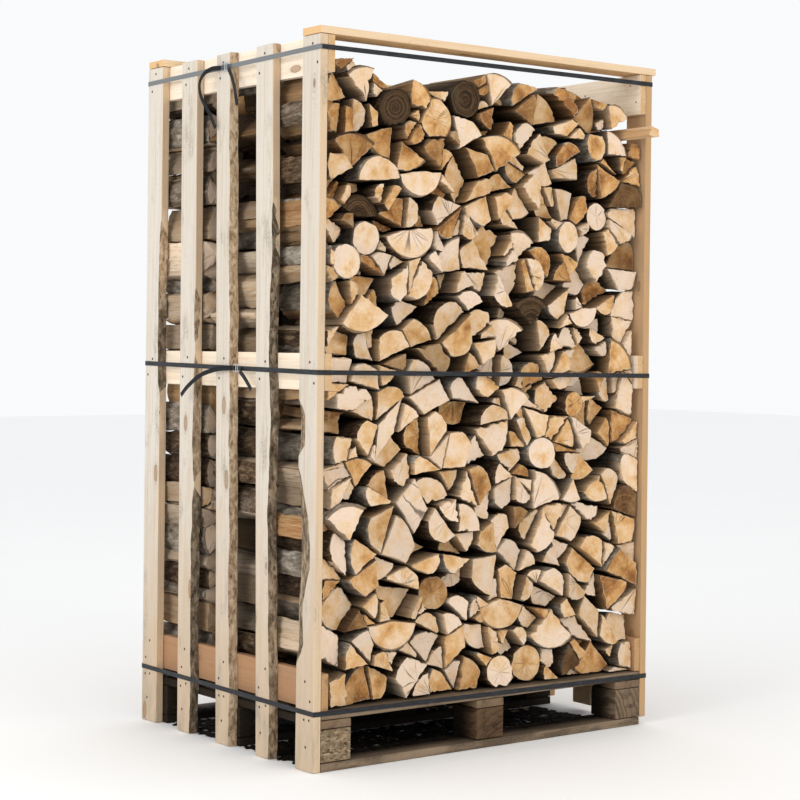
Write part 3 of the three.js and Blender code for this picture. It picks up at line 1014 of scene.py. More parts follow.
# Pith to the right of the middle and above the ground, radius (cm); bark, opening (degrees); colour.
FRONT_LOGS = {
    "top left corner": (-49, 172, 8, -85, 62, "honey"),
    "top left wedge": (-40, 165, 9, 105, 62, "cream"),
    "left black round": (-32, 164, 5, 0, ROUND, "black"),
    "quarter on its right": (-28, 165, 7, 35, 90, "honey"),
    "wedge under its left": (-31, 160, 9, -125, 70, "honey"),
    "wedge below it": (-28, 156, 8, -70, 70, "honey"),
    "middle black round": (-9, 168, 5, 0, ROUND, "black"),
    "top middle wedge": (0, 167, 9, 75, 62, "cream"),
    "top right quarter": (28, 166, 9, 10, 75, "brown"),
    "wedge under the rail": (42, 164, 7, 67, 76, "tan"),
    "pale quarter by the stray split": (41, 157, 7, 45, 90, "pale"),
    "knotty round": (-19, 162, 5.5, 0, ROUND, "honey"),
    "pale wedge by the knot": (-11, 155, 9, 65, 75, "pale"),
    "wide honey wedge": (1, 150, 10, 75, 85, "honey"),
    "small round, high right": (36, 159, 4, 0, ROUND, "honey"),
    "quarter hanging down": (20, 154, 7, -105, 90, "cream"),
    "left brown quarter": (-45, 148, 9, 85, 85, "brown"),
    "domed half": (-36, 145, 7, 95, HALF, "tan"),
    "split brown wedge": (-17, 150, 8, 115, 65, "brown"),
    "half lying on its back": (-23, 149, 7, -85, HALF, "cream"),
    "orange wedge by the slat": (-52, 134, 7, 65, 50, "orange"),
    "black half": (-41, 136, 6, 80, 150, "black"),
    "second half on its back": (-26, 134, 8, -80, HALF, "cream"),
    "pale round, upper left": (-39, 131, 4.5, 0, ROUND, "pale"),
    "pale round, left": (-46, 125, 4.5, 0, ROUND, "pale"),
    "pale round, right": (38, 140, 4, 0, ROUND, "pale"),
    "oval round": (27, 134, 4.5, 0, ROUND, "cream"),
    "cream wedge": (10, 127, 8, 75, 75, "cream"),
    "broad pale quarter": (-8, 124, 9, 145, 90, "pale"),
    "big left quarter": (-42, 117, 10, -80, 95, "tan"),
    "black hollow": (14, 110, 8, 90, 100, "black"),
    "pale half at the right": (32, 115, 5.5, -80, HALF, "pale"),
    "wedge above the strap": (34, 107, 10, -85, 75, "tan"),
    "wedge on the strap": (5, 103, 9, 80, 80, "cream"),
    "honey wedge at the rail": (41, 97, 10, 45, 72, "honey"),
    "small orange round": (29, 89, 3.5, 0, ROUND, "orange"),
    "tall cream wedge": (7, 85, 9, 75, 70, "cream"),
    "pale round below the strap": (18, 76, 4.5, 0, ROUND, "pale"),
    "honey wedge, left": (-42, 69, 7.5, 85, 72, "honey"),
    "largest pale quarter": (15, 61, 11, 50, 75, "pale"),
    "pale wedge, right": (29, 70, 8, -95, 62, "pale"),
    "pale quarter, left": (-45, 56, 9, 100, 80, "pale"),
    "brown round": (-17, 41, 4.5, 0, ROUND, "brown"),
    "low half": (-31, 35, 7.5, -90, HALF, "tan"),
    "wide low half": (6, 38, 8.5, -90, 150, "tan"),
    "wide low quarter": (23, 34, 11, -95, 95, "cream"),
    "black round at the foot": (-26, 24, 5, 0, ROUND, "black"),
    "pale round at the foot": (4, 19, 4.5, 0, ROUND, "pale"),
    "honey round at the foot": (15, 20, 5, 0, ROUND, "honey"),
    "orange quarter at the foot": (39, 24, 10, -90, 85, "orange"),
}


def chance_rounds(chance, row, count):
    """Some whole round logs, well apart."""
    found = []
    while len(found) < count:
        x, z = chance.uniform(-0.45, 0.45), chance.uniform(0.23, 1.64)
        radius = chance.uniform(0.030, 0.052)
        if z + radius > row_top(row, x) - 0.05:
            continue
        if all(math.hypot(x - log[0], z - log[1]) > radius + log[2] + 0.06 for log in found):
            found.append((x, z, radius, 0, ROUND, None))
    return found


# %% The outlines of a row's logs
HALF_FROM = 120  # degrees


def row_logs(chance, row, set_logs, ragged, slack):
    """(outline, pith, radius, sort, wanted colour) of the logs already set, then of one log a cell."""
    shapes = [set_outline(chance, *log[:5]) for log in set_logs]
    outlines = part_neighbours([outline for outline, pith in shapes])
    logs = []
    for (_, _, radius, _, opening, colour), outline, (_, pith) in zip(set_logs, outlines, shapes):
        sort = "rounds" if opening == ROUND else "halves" if opening > HALF_FROM else "quarters"
        if len(outline) > 2:
            logs.append((outline, pith, radius * 0.98, sort, COLOURS.get(colour)))
    for cell in row_cells(chance, row, [log[0] for log in logs]):
        log = log_from_cell(chance, cell, ragged, slack)
        if log is not None and len(log[0]) > 2:
            logs.append((*log, None))
    return logs


# %% Where a log begins, and how long it is
ROW_DEPTH = 0.262
ROW_MARGIN = 0.006
ROW_STARTS = {"front": -0.416, "middle": -0.131, "back": 0.154}
LOG_LENGTHS = (0.228, 0.246)
SIDE_LENGTHS = (0.246, 0.256)
# Farther from the crate's middle than this (m), logs lie along a side and are the longest.
SIDE_FROM = 0.45
# Beyond these places (m) the ends stand less far back: at the right, and at the left of the back row.
EVEN_RIGHT = 0.41
EVEN_LEFT = -0.36


def log_ends(chance, row, fixed, across, by_chance):
    """(near end, length) of a log that lies this far to the right of the crate's middle."""
    back_off = min(abs(chance.normal(0, 0.020)), 0.05)
    if by_chance and chance.random() < 0.14:
        back_off = chance.uniform(0.035, 0.075)
    if across > EVEN_RIGHT or (fixed == "back" and across < EVEN_LEFT):
        back_off *= 0.5
    longest = ROW_DEPTH - ROW_MARGIN - back_off
    length = min(chance.uniform(*LOG_LENGTHS), longest)
    if abs(across) > SIDE_FROM:
        length = min(chance.uniform(*SIDE_LENGTHS), longest)
    if fixed == "front":
        return ROW_STARTS[row] + ROW_MARGIN + back_off, length
    if fixed == "back":
        return ROW_STARTS[row] + ROW_DEPTH - ROW_MARGIN - length - back_off, length
    return ROW_STARTS[row] + (ROW_DEPTH - length) / 2 + chance.uniform(-0.018, 0.018), length


# %% Stack the rows
TURNED_SIZE = 0.985
# Farther from the crate's middle than this (m), logs show between the slats.
SHOWN_FROM = 0.47
# Logs of the middle row that nothing shows: nearer the crate's middle than this, and this far down (m).
HIDDEN_WITHIN = 0.43
HIDDEN_BELOW = 0.14
HIDDEN_SIDES = 12


def stack_row(row, seed, set_logs, fixed, ragged, slack):
    """The piles of one row. Fixed is the end that is lined up, ragged is how uneven its left and right
    side are, None where logs lie as elsewhere, and slack is how loosely it is stacked."""
    chance = np.random.default_rng(seed)
    piles = {sort: LogPile() for sort in ("rounds", "halves", "quarters", "splits")}
    for outline, pith, radius, sort, wanted in row_logs(chance, row, set_logs, ragged, slack):
        outline = keep_clear_of_rails(outline)
        if len(outline) < 3 or area_of(outline) < SMALLEST_LOG:
            continue
        middle = outline.mean(axis=0)
        turn = chance.normal(0, 0.06)
        spin = np.array([[math.cos(turn), -math.sin(turn)], [math.sin(turn), math.cos(turn)]])
        if abs(middle[0]) < SIDE_FROM and wanted is None:
            outline = middle + (outline - middle) @ spin.T * TURNED_SIZE
            pith = middle + spin @ (pith - middle) * TURNED_SIZE
        near, length = log_ends(chance, row, fixed, middle[0], wanted is None)
        if wanted is None and abs(middle[0]) > SHOWN_FROM and fixed != "front":
            wanted = (chance.uniform(0.0, 0.30), 0.5 * chance.random() ** 3)
        tone = log_tone(chance, middle[1], wanted)
        loose = 0.0 if np.abs(outline[:, 0]).max() > STACK_SIDE - 0.04 else slack
        deep_down = middle[1] < row_top(row, middle[0]) - HIDDEN_BELOW
        hidden = fixed == "both" and abs(middle[0]) < HIDDEN_WITHIN and deep_down
        outline = even_outline(outline, HIDDEN_SIDES if hidden else LOG_SIDES)
        place_log(chance, piles[sort], outline, pith, radius, near, length, tone, fixed, row, loose)
    return piles


front_set = [(x / 100, z / 100, radius / 100, *others) for x, z, radius, *others in FRONT_LOGS.values()]
round_chance = np.random.default_rng(5)
# Seed, logs already set, the end that is lined up, how uneven the left and right side are, and slack.
row_facts = {
    "front": (11, front_set, "front", (0.8, None), 1.0),
    "back": (12, chance_rounds(round_chance, "back", 14), "back", (0.45, 0.45), 0.3),
    "middle": (13, chance_rounds(round_chance, "middle", 14), "both", (0.9, 0.8), 0.1),
}
for row, facts in row_facts.items():
    for sort, pile in stack_row(row, *facts).items():
        pile.make(f"{row}_row_{sort}", f"logs_{row}_row")

# %% [markdown]
# ## Sawn boards
# Rails, bars and pallet boards begin as a cube at the board's own size. Its long edges are cut across
# a few times and the corners worn with a bevel. A cloud texture then moves the surface in by about a
# millimetre, because rough-sawn wood is never quite flat. The board's place comes from its frame node.

# %% Making one board
BOARD_WEAR = 0.0016
PALLET_WEAR = 0.003
clouds = bpy.data.textures.new("saw_waver", "CLOUDS")
board_chance = np.random.default_rng(3)


def cube_between(name, low, high):
    """A cube with the given corners, its place in its mesh."""
    bpy.ops.object.select_all(action="DESELECT")
    low, high = Vector(low), Vector(high)
    bpy.ops.mesh.primitive_cube_add(size=1, location=(low + high) / 2)
    piece = bpy.context.object
    piece.name = name
    piece.scale = high - low
    bpy.ops.object.transform_apply(location=True, rotation=True, scale=True)
    return piece


def apply_modifier(piece, kind, **settings):
    modifier = piece.modifiers.new(kind.lower(), kind)
    for name, value in settings.items():
        setattr(modifier, name, value)
    bpy.context.view_layer.objects.active = piece
    bpy.ops.object.modifier_apply(modifier=modifier.name)


def cut_across(piece, axis, spacing):
    """Bisects a piece every spacing along an axis."""
    low = min(corner.co[axis] for corner in piece.data.vertices)
    high = max(corner.co[axis] for corner in piece.data.vertices)
    cuts = max(2, int((high - low) / spacing))
    normal = [1.0 if i == axis else 0.0 for i in range(3)]
    bpy.ops.object.mode_set(mode="EDIT")
    for cut in range(1, cuts):
        bpy.ops.mesh.select_all(action="SELECT")
        point = [low + (high - low) * cut / cuts if i == axis else 0.0 for i in range(3)]
        bpy.ops.mesh.bisect(plane_co=point, plane_no=normal)
    bpy.ops.object.mode_set(mode="OBJECT")


def set_seed(piece, bark_faces=None):
    """The numbers that the wood finishes read: one seed a board, which way faces look, and the bark."""
    seed = board_chance.uniform(-40, 40, 3)
    layer = piece.data.attributes.new("board_seed", "FLOAT_VECTOR", "POINT")
    layer.data.foreach_set("vector", np.tile(seed, len(piece.data.vertices)).astype(np.float32))
    layer = piece.data.attributes.new("edge", "FLOAT", "FACE")
    layer.data.foreach_set("value", [abs(face.normal.y) for face in piece.data.polygons])
    layer = piece.data.attributes.new("bark", "FLOAT", "FACE")
    if bark_faces is not None:
        layer.data.foreach_set("value", np.array(bark_faces, np.float32))


def finish_piece(piece, material, slot, *nodes):
    piece.data.materials.clear()
    piece.data.materials.append(material)
    bpy.ops.object.select_all(action="DESELECT")
    piece.select_set(True)
    bpy.context.view_layer.objects.active = piece
    bpy.ops.object.shade_smooth_by_angle(angle=math.radians(35))
    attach(piece, "root")
    if nodes:
        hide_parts(*nodes)
    return piece


def sawn_board(node, axis, material, slot, wear=BOARD_WEAR, waver=0.0016):
    low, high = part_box(node)
    piece = cube_between(f"{node}_sawn", low, high)
    cut_across(piece, axis, 0.06)
    apply_modifier(piece, "BEVEL", width=wear, segments=2, limit_method="ANGLE")
    clouds.noise_scale = 0.09
    apply_modifier(piece, "DISPLACE", texture=clouds, strength=waver, mid_level=0.9)
    set_seed(piece)
    return finish_piece(piece, material, slot, node)


# %% Rails, bars and pallet boards
for side in ("left", "right"):
    for level in ("bottom", "middle", "top"):
        wood = low_rail_wood if level == "bottom" else rail_wood
        sawn_board(f"{side}_rail_{level}", Y, wood, "rail_wood")
for bar in ("top_bar_front", "top_bar_back"):
    sawn_board(bar, X, bar_wood, "slat_wood")
for row in ("front", "middle", "back"):
    sawn_board(f"bottom_board_{row}", X, deck_wood, "pallet_wood", PALLET_WEAR)
for column in ("left", "middle", "right"):
    sawn_board(f"stringer_{column}", Y, stringer_wood, "pallet_wood", PALLET_WEAR)
for number in range(1, 7):
    sawn_board(f"deck_board_{number}", X, deck_wood, "pallet_wood", PALLET_WEAR)
block_finishes = {"left": block_pressed, "middle": block_dark, "right": block_dry}
for row in ("front", "middle", "back"):
    for column in ("left", "middle", "right"):
        wood = block_finishes[column]
        sawn_board(f"block_{row}_{column}", Y, wood, "block_wood", PALLET_WEAR, waver=0.003)

# %% [markdown]
# ## Slats with the bark left on
# The slats were sawn from the outside of small trees, so along one edge the tree's own round side shows,
# bark and all. We make it the way it came about: a plain board, and a bumpy tree trunk whose side runs
# along one corner of it. A Boolean keeps what is inside both. Where the trunk is thin, much of the
# board's corner is missing; where it is thick, the corner stays sharp. Faces that come from the trunk
# carry its material slot, which tells us where the bark is.

# %% How each slat leans, and where its bark is
# How far the top of a slat stands nearer to the back than its foot (m).
SLAT_LEANS = {"left": (0.0, 0.032, 0.030, 0.011, 0.0), "right": (0.0, -0.010, 0.014, 0.008, 0.0)}
# Height above the ground (m), and how much of the corner is missing there (mm).
WANES = {
    "left": (((0.24, 0), (0.3, 11), (0.4, 10), (0.5, 16), (0.62, 15), (0.72, 7), (0.76, 0), (0.79, 10),
              (0.88, 10), (0.92, 0)),
             ((0.0, 18), (0.55, 20), (0.75, 20), (0.85, 12), (1.05, 18), (1.15, 16), (1.3, 7), (1.42, 0)),
             ((0.0, 14), (0.4, 16), (0.7, 13), (1.0, 16), (1.3, 14), (1.8, 15)),
             ((0.0, 15), (0.4, 15), (0.62, 12), (0.66, 4), (0.75, 11), (0.9, 9), (1.03, 0), (1.1, 9),
              (1.16, 10), (1.25, 0)),
             ((0.88, 0), (0.93, 12), (1.02, 16), (1.2, 13), (1.3, 11), (1.42, 0))),
    "right": (((0.5, 0), (0.6, 2), (0.7, 0)),
              ((0.0, 12), (0.3, 17), (0.8, 9), (1.3, 14), (1.8, 12)),
              ((0.1, 0), (0.5, 13), (0.8, 0), (1.2, 0), (1.5, 12), (1.8, 14)),
              ((0.0, 17), (0.4, 11), (0.9, 18), (1.8, 4)),
              ((0.6, 0), (0.9, 13), (1.3, 0))),
}
# Height above the ground (m), and the bark there: 0 is dark outer bark, 1 is pale inner bark.
BARK_TONES = {
    "left": (((0.0, 0.3), (1.0, 0.4)), ((0.3, 0.45), (0.6, 0.16)), ((0.0, 0.6), (1.8, 1.0)),
             ((0.6, 0.2), (0.7, 0.6)), ((1.1, 0.2), (1.2, 0.8))),
    "right": (((0.0, 0.5), (1.8, 0.5)), ((0.0, 0.3), (1.8, 0.4)), ((0.0, 0.7), (1.8, 0.5)),
              ((0.0, 0.4), (1.8, 0.3)), ((0.0, 0.6), (1.8, 0.6))),
}


# %% Making one slat
SLAT_HALF = 0.039
TRUNK_SIDES = 64
TRUNK_CUTS = 110
# From a slat's outer corner to the middle of its trunk (m): inwards, and towards the back.
THICK_TRUNK = (0.300, -0.100)
THIN_TRUNK = (0.034, 0.080)


def at_height(pairs, height):
    return float(np.interp(height, [pair[0] for pair in pairs], [pair[1] for pair in pairs]))


bark_lumps = bpy.data.textures.new("bark_lumps", "CLOUDS")
marker_wood = bpy.data.materials.new("marker_wood")
marker_bark = bpy.data.materials.new("marker_bark")


def trunk_beside(corner, into, wanes, low, high, lumps):
    """A bumpy trunk whose side passes within each wane of a board's corner; into leads to its middle."""
    middle = Vector((corner[0] + into[0], corner[1] + into[1], (low + high) / 2))
    reach = math.hypot(*into)
    bpy.ops.object.select_all(action="DESELECT")
    bpy.ops.mesh.primitive_cylinder_add(vertices=TRUNK_SIDES, radius=reach, depth=high - low + 0.1,
                                        location=middle)
    trunk = bpy.context.object
    bpy.ops.object.transform_apply(location=True)
    bpy.ops.object.mode_set(mode="EDIT")
    bpy.ops.mesh.select_mode(type="EDGE")
    bpy.ops.mesh.select_all(action="DESELECT")
    bpy.ops.object.mode_set(mode="OBJECT")
    for edge in trunk.data.edges:
        ends = [trunk.data.vertices[i].co for i in edge.vertices]
        edge.select = abs(ends[0].z - ends[1].z) > 0.5
    bpy.ops.object.mode_set(mode="EDIT")
    bpy.ops.mesh.subdivide(number_cuts=TRUNK_CUTS)
    bpy.ops.object.mode_set(mode="OBJECT")
    for corner_point in trunk.data.vertices:
        away = corner_point.co - middle
        missing = at_height(wanes, corner_point.co.z) * 0.001
        flat = Vector((away.x, away.y, 0)) * ((reach + 0.003 - missing) / reach)
        corner_point.co = Vector((middle.x, middle.y, corner_point.co.z)) + flat
    for size, strength in ((0.12, 0.014 * lumps), (0.028, 0.005 * lumps)):
        bark_lumps.noise_scale = size
        apply_modifier(trunk, "DISPLACE", texture=bark_lumps, texture_coords="LOCAL", strength=strength,
                       mid_level=0.5)
    trunk.data.materials.append(marker_bark)
    return trunk


def waney_slat(side, number):
    node = f"{side}_slat_{number}"
    low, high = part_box(node)
    lean = SLAT_LEANS[side][number - 1]
    middle_y = (low.y + high.y) / 2
    piece = cube_between(f"{node}_waney", (low.x, middle_y - SLAT_HALF, low.z + 0.0008),
                         (high.x, middle_y + SLAT_HALF, high.z - 0.0008))
    cut_across(piece, Z, 0.12)
    apply_modifier(piece, "BEVEL", width=0.0013, segments=1, limit_method="ANGLE")
    piece.data.materials.append(marker_wood)
    outward = -1 if side == "left" else 1
    outer_x = low.x if side == "left" else high.x
    backward = number == 1
    corner = (outer_x, middle_y + (SLAT_HALF if backward else -SLAT_HALF))
    inward, behind = THICK_TRUNK if backward else THIN_TRUNK
    into = (-outward * inward, behind)
    trunk = trunk_beside(corner, into, WANES[side][number - 1], low.z, high.z, 0.15 if backward else 1.0)
    apply_modifier(piece, "BOOLEAN", operation="INTERSECT", object=trunk, solver="EXACT",
                   material_mode="TRANSFER")
    bpy.data.objects.remove(trunk)
    length = high.z - low.z
    middle = Vector(((low.x + high.x) / 2, middle_y, (low.z + high.z) / 2))
    turn = Euler((-math.atan(lean / length), 0, 0)).to_matrix()
    for point in piece.data.vertices:
        point.co = middle + turn @ (point.co - middle)
    clouds.noise_scale = 0.35
    apply_modifier(piece, "DISPLACE", texture=clouds, strength=0.002, direction="Y", mid_level=0.5)
    names = [slot.name if slot else "" for slot in piece.data.materials]
    tones = BARK_TONES[side][number - 1]
    bark = [at_height(tones, face.center.z) if names[face.material_index] == "marker_bark" else 0.0
            for face in piece.data.polygons]
    set_seed(piece, bark)
    for face in piece.data.polygons:
        face.material_index = 0
    finish_piece(piece, slat_wood if side == "left" else far_slat_wood, "slat_wood", node)
    print(piece.name, len(piece.data.polygons), "faces", sum(value > 0 for value in bark), "of bark")


for side in ("left", "right"):
    for number in range(1, 6):
        waney_slat(side, number)

# %% [markdown]
# ## Straps, buckles and loose ends
# The straps are flat bands drawn tight, and the frame already has their shape, so those nodes only get
# their finish. Each buckle is a bent wire: a flat outline with rounded corners, turned into a curve,
# given the wire's thickness and made a mesh again. The loose strap ends are stiff enough to stand out
# from the crate, and are made as thin bands along the route they take.

# %% Straps
for level in ("top", "middle", "bottom"):
    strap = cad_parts[f"{level}_strap"]
    strap.data.materials.clear()
    strap.data.materials.append(strap_plastic)
    print("strap:", strap.name)

# %% Wire buckles
WIRE_RADIUS = 0.0014
BAR_RADIUS = 0.0013
# The strap folded over either end of a buckle (m): how far along it is, and half its size.
FOLD_REACH = 0.0165
FOLD_HALF = Vector((0.0022, 0.007, 0.006))


def wire_buckle(level):
    node = f"{level}_buckle"
    low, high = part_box(node)
    middle = (low + high) / 2
    bpy.ops.object.select_all(action="DESELECT")
    bpy.ops.mesh.primitive_plane_add(size=1, location=(0, 0, 0))
    wire = bpy.context.object
    wire.scale = (high.y - low.y - 0.003, high.z - low.z - 0.003, 1)
    bpy.ops.object.transform_apply(location=True, rotation=True, scale=True)
    bpy.ops.object.mode_set(mode="EDIT")
    bpy.ops.mesh.select_all(action="SELECT")
    bpy.ops.mesh.bevel(offset=0.005, segments=5, affect="VERTICES")
    bpy.ops.mesh.delete(type="ONLY_FACE")
    bpy.ops.object.mode_set(mode="OBJECT")
    bpy.ops.object.convert(target="CURVE")
    wire.data.bevel_depth = WIRE_RADIUS
    wire.data.bevel_resolution = 2
    bpy.ops.object.convert(target="MESH")
    for place in (-0.004, 0.004):
        bpy.ops.mesh.primitive_cylinder_add(vertices=10, radius=BAR_RADIUS, depth=0.018,
                                            location=(place, 0, 0), rotation=(math.pi / 2, 0, 0))
        bar = bpy.context.object
        bpy.ops.object.transform_apply(location=True, rotation=True, scale=True)
        wire.select_set(True)
        bar.select_set(True)
        bpy.context.view_layer.objects.active = wire
        bpy.ops.object.join()
        bpy.ops.object.select_all(action="DESELECT")
    for point in wire.data.vertices:
        x, y, z = point.co
        point.co = Vector((middle.x + z, middle.y + x, middle.z + y))
    wire.name = f"{node}_wire"
    finish_piece(wire, buckle_steel, "buckle_steel", node)
    for end in (-1, 1):
        at = middle + Vector((0, end * FOLD_REACH, 0))
        label = "front" if end < 0 else "back"
        fold = cube_between(f"{node}_fold_{label}", at - FOLD_HALF, at + FOLD_HALF)
        apply_modifier(fold, "BEVEL", width=0.0018, segments=3, limit_method="ANGLE")
        finish_piece(fold, strap_plastic, "strap_plastic")
    print(wire.name, len(wire.data.polygons), "faces")


for level in ("top", "middle", "bottom"):
    wire_buckle(level)

# %% Loose strap ends
STRAP_WIDTH = 0.012
STRAP_THICKNESS = 0.001
TAIL_ROUTES = {
    "top_strap_tail_back": [(-0.567, 0.032, 1.762), (-0.574, 0.062, 1.762), (-0.583, 0.088, 1.750),
                            (-0.588, 0.101, 1.724), (-0.586, 0.093, 1.688), (-0.579, 0.068, 1.650),
                            (-0.571, 0.046, 1.606)],
    "top_strap_tail_front": [(-0.567, -0.008, 1.757), (-0.571, -0.030, 1.734), (-0.576, -0.052, 1.704),
                             (-0.578, -0.062, 1.680), (-0.576, -0.066, 1.655)],
    "middle_strap_tail_back": [(-0.567, -0.038, 0.980), (-0.575, 0.025, 0.975), (-0.583, 0.090, 0.958),
                               (-0.588, 0.144, 0.928), (-0.589, 0.176, 0.904)],
    "middle_strap_tail_front": [(-0.567, -0.078, 0.973), (-0.573, -0.110, 0.957),
                                (-0.577, -0.136, 0.940), (-0.579, -0.152, 0.927)],
}


def smooth_route(points, steps=6):
    """A Catmull-Rom curve through the points."""
    padded = [2 * np.array(points[0]) - points[1], *map(np.array, points),
              2 * np.array(points[-1]) - points[-2]]
    route = []
    for before, here, there, after in zip(padded, padded[1:], padded[2:], padded[3:]):
        for t in np.linspace(0, 1, steps, endpoint=False):
            route.append(0.5 * (2 * here + (there - before) * t
                                + (2 * before - 5 * here + 4 * there - after) * t ** 2
                                + (3 * here - before - 3 * there + after) * t ** 3))
    route.append(padded[-2])
    return np.array(route)


def strap_tail(node, points):
    route = smooth_route(points)
    ahead = np.gradient(route, axis=0)
    ahead /= np.linalg.norm(ahead, axis=1)[:, None]
    outward = np.array([-1.0, 0.0, 0.0])
    across = np.cross(ahead, outward)
    across /= np.linalg.norm(across, axis=1)[:, None]
    out = np.cross(across, ahead)
    half, thick = STRAP_WIDTH / 2, STRAP_THICKNESS / 2
    corners = [(-half, -thick), (half, -thick), (half, thick), (-half, thick)]
    rings = np.stack([route + across * a + out * b for a, b in corners], axis=1)
    count = len(route)
    faces = [(4 * i + j, 4 * i + (j + 1) % 4, 4 * i + 4 + (j + 1) % 4, 4 * i + 4 + j)
             for i in range(count - 1) for j in range(4)]
    faces += [(3, 2, 1, 0), tuple(4 * (count - 1) + j for j in range(4))]
    tail = new_piece(f"{node}_band", rings.reshape(-1, 3), faces)
    bpy.ops.object.select_all(action="DESELECT")
    tail.select_set(True)
    bpy.context.view_layer.objects.active = tail
    bpy.ops.object.mode_set(mode="EDIT")
    bpy.ops.mesh.select_all(action="SELECT")
    bpy.ops.mesh.normals_make_consistent(inside=False)
    bpy.ops.object.mode_set(mode="OBJECT")
    finish_piece(tail, tail_plastic, "strap_plastic", node)


for node, points in TAIL_ROUTES.items():
    strap_tail(node, points)

# %% [markdown]
# ## The stray split
# One small split lies on top of the stack at the right and sticks out past the front. It is one more
# log, made the same way as the others and with the same finish.

# %% Stray split
stray_chance = np.random.default_rng(21)
stray_low, stray_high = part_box("stray_split")
stray = np.array([(stray_low.x, stray_low.z + 0.004), (stray_low.x + 0.016, stray_low.z),
                  (stray_high.x, stray_low.z + 0.003), (stray_high.x - 0.004, stray_high.z - 0.007),
                  (stray_low.x + 0.012, stray_high.z)])
stray_pile = LogPile()
place_log(stray_chance, stray_pile, even_outline(stray), stray.mean(axis=0) + (0.05, -0.08), 1.0,
          stray_low.y + 0.004, 0.242, (0.45, 0.06, 0.4, 2.0), "both")
stray_pile.make("stray_split_log", "stray_split")

# %% [markdown]
# ## Nails
# Two nails hold every slat to every rail, and more hold it to the pallet. A nail head is a small flat
# dome, so one ring of corners at its rim, one inside it and a middle point are enough. All the heads are
# joined in one mesh from arrays, which is quicker than placing a hundred primitives.

# %% Nail heads
HEAD_SIDES = 8
NAIL_RADIUS = 0.0036
POINT_RADIUS = 0.0022
nail_chance = np.random.default_rng(8)


def nail_head(place, facing, radius):
    """(points, faces) of one domed head that looks along facing from a place on a board."""
    facing = np.array(facing, float) + nail_chance.normal(0, 0.06, 3)
    facing /= np.linalg.norm(facing)
    aside = np.cross(facing, (0.31, 0.52, 0.79))
    aside /= np.linalg.norm(aside)
    upward = np.cross(facing, aside)
    turn = np.linspace(0, 2 * math.pi, HEAD_SIDES, endpoint=False)
    circle = np.cos(turn)[:, None] * aside + np.sin(turn)[:, None] * upward
    rings = [place + circle * radius * size + facing * lift
             for size, lift in ((1.0, -0.0012), (1.0, 0.0002), (0.7, 0.0009))]
    points = np.vstack([*rings, [place + facing * 0.0010], [place - facing * 0.0012]])
    faces = []
    for side in range(HEAD_SIDES):
        after = (side + 1) % HEAD_SIDES
        for low in (0, HEAD_SIDES):
            faces.append((low + side, low + after, low + HEAD_SIDES + after, low + HEAD_SIDES + side))
        faces.append((2 * HEAD_SIDES + side, 2 * HEAD_SIDES + after, 3 * HEAD_SIDES))
        faces.append((after, side, 3 * HEAD_SIDES + 1))
    return points, faces


def join_parts(name, parts, material, slot):
    """One object from many small (points, faces)."""
    points, faces, first = [], [], 0
    for part_points, part_faces in parts:
        points.append(part_points)
        faces += [tuple(first + corner for corner in face) for face in part_faces]
        first += len(part_points)
    finish_piece(new_piece(name, np.vstack(points), faces), material, slot)
    print(name, len(parts), "parts", len(faces), "faces")


# %% Where the nails are
# On a slat (m): from its middle towards the back, and above the ground or above the rail's middle.
PALLET_NAILS = [(-0.006, 0.130), (0.022, 0.124), (0.010, 0.062)]
RAIL_NAILS = [(0.000, 0.024), (0.022, -0.020)]
# On a top bar (m), from either end.
BAR_NAILS = (0.011, 0.035)


def slat_nails(side):
    """Heads on the outside of one side, and the points that come through its top rail."""
    outward = -1 if side == "left" else 1
    parts = []
    for number in range(1, 6):
        low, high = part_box(f"{side}_slat_{number}")
        outer_x = low.x if side == "left" else high.x
        middle_y = (low.y + high.y) / 2
        lean = SLAT_LEANS[side][number - 1] / (high.z - low.z)
        spots = list(PALLET_NAILS)
        for level in ("bottom", "middle", "top"):
            rail_low, rail_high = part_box(f"{side}_rail_{level}")
            rail_z = (rail_low.z + rail_high.z) / 2
            spots += [(y, rail_z + z) for y, z in RAIL_NAILS]
        if number == 1:
            spots = [(-y, z) for y, z in spots]
        for y, z in spots:
            y_there = middle_y + y + lean * (z - (low.z + high.z) / 2)
            place = np.array([outer_x, y_there, z]) + nail_chance.normal(0, 0.003, 3) * (0, 1, 1)
            parts.append(nail_head(place, (outward, 0, 0), NAIL_RADIUS))
            if z > rail_low.z:
                inner_x = rail_low.x if side == "right" else rail_high.x
                through = np.array([inner_x, place[1], place[2]])
                parts.append(nail_head(through, (-outward, 0, 0), POINT_RADIUS))
    return parts


def bar_nails(bar):
    low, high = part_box(bar)
    near, far = BAR_NAILS
    parts = []
    for x in (low.x + near, low.x + far, high.x - far, high.x - near):
        y = (low.y + high.y) / 2 + nail_chance.uniform(-0.02, 0.02)
        parts.append(nail_head(np.array([x, y, high.z]), (0, 0, 1), NAIL_RADIUS))
    return parts


for side in ("left", "right"):
    join_parts(f"{side}_nails", slat_nails(side), nail_steel, "buckle_steel")
join_parts("bar_nails", bar_nails("top_bar_front") + bar_nails("top_bar_back"), nail_steel, "buckle_steel")

# %% [markdown]
# ## Chips
# Bark dust and chips fall through the deck and lie under the pallet. A chip is a flat piece with five
# corners, thicker in the middle, lying at a slight tilt on the ground or on a bottom board. Most are dark
# bark, laid so thick that they are also a painted shadow under the pallet, and some are pale splinters of
# fresh wood. Each sort is one mesh from arrays.

# %% Chips under the pallet
# There are many dark chips: they stand for litter and also for the shadow under the pallet.
DARK_CHIPS = 3700
PALE_CHIPS = 110
CHIP_CORNERS = 5
chip_chance = np.random.default_rng(17)
pallet_blocks = [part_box(f"block_{row}_{column}") for row in ("front", "middle", "back")
                 for column in ("left", "middle", "right")]
bottom_boards = [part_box(f"bottom_board_{row}") for row in ("front", "middle", "back")]


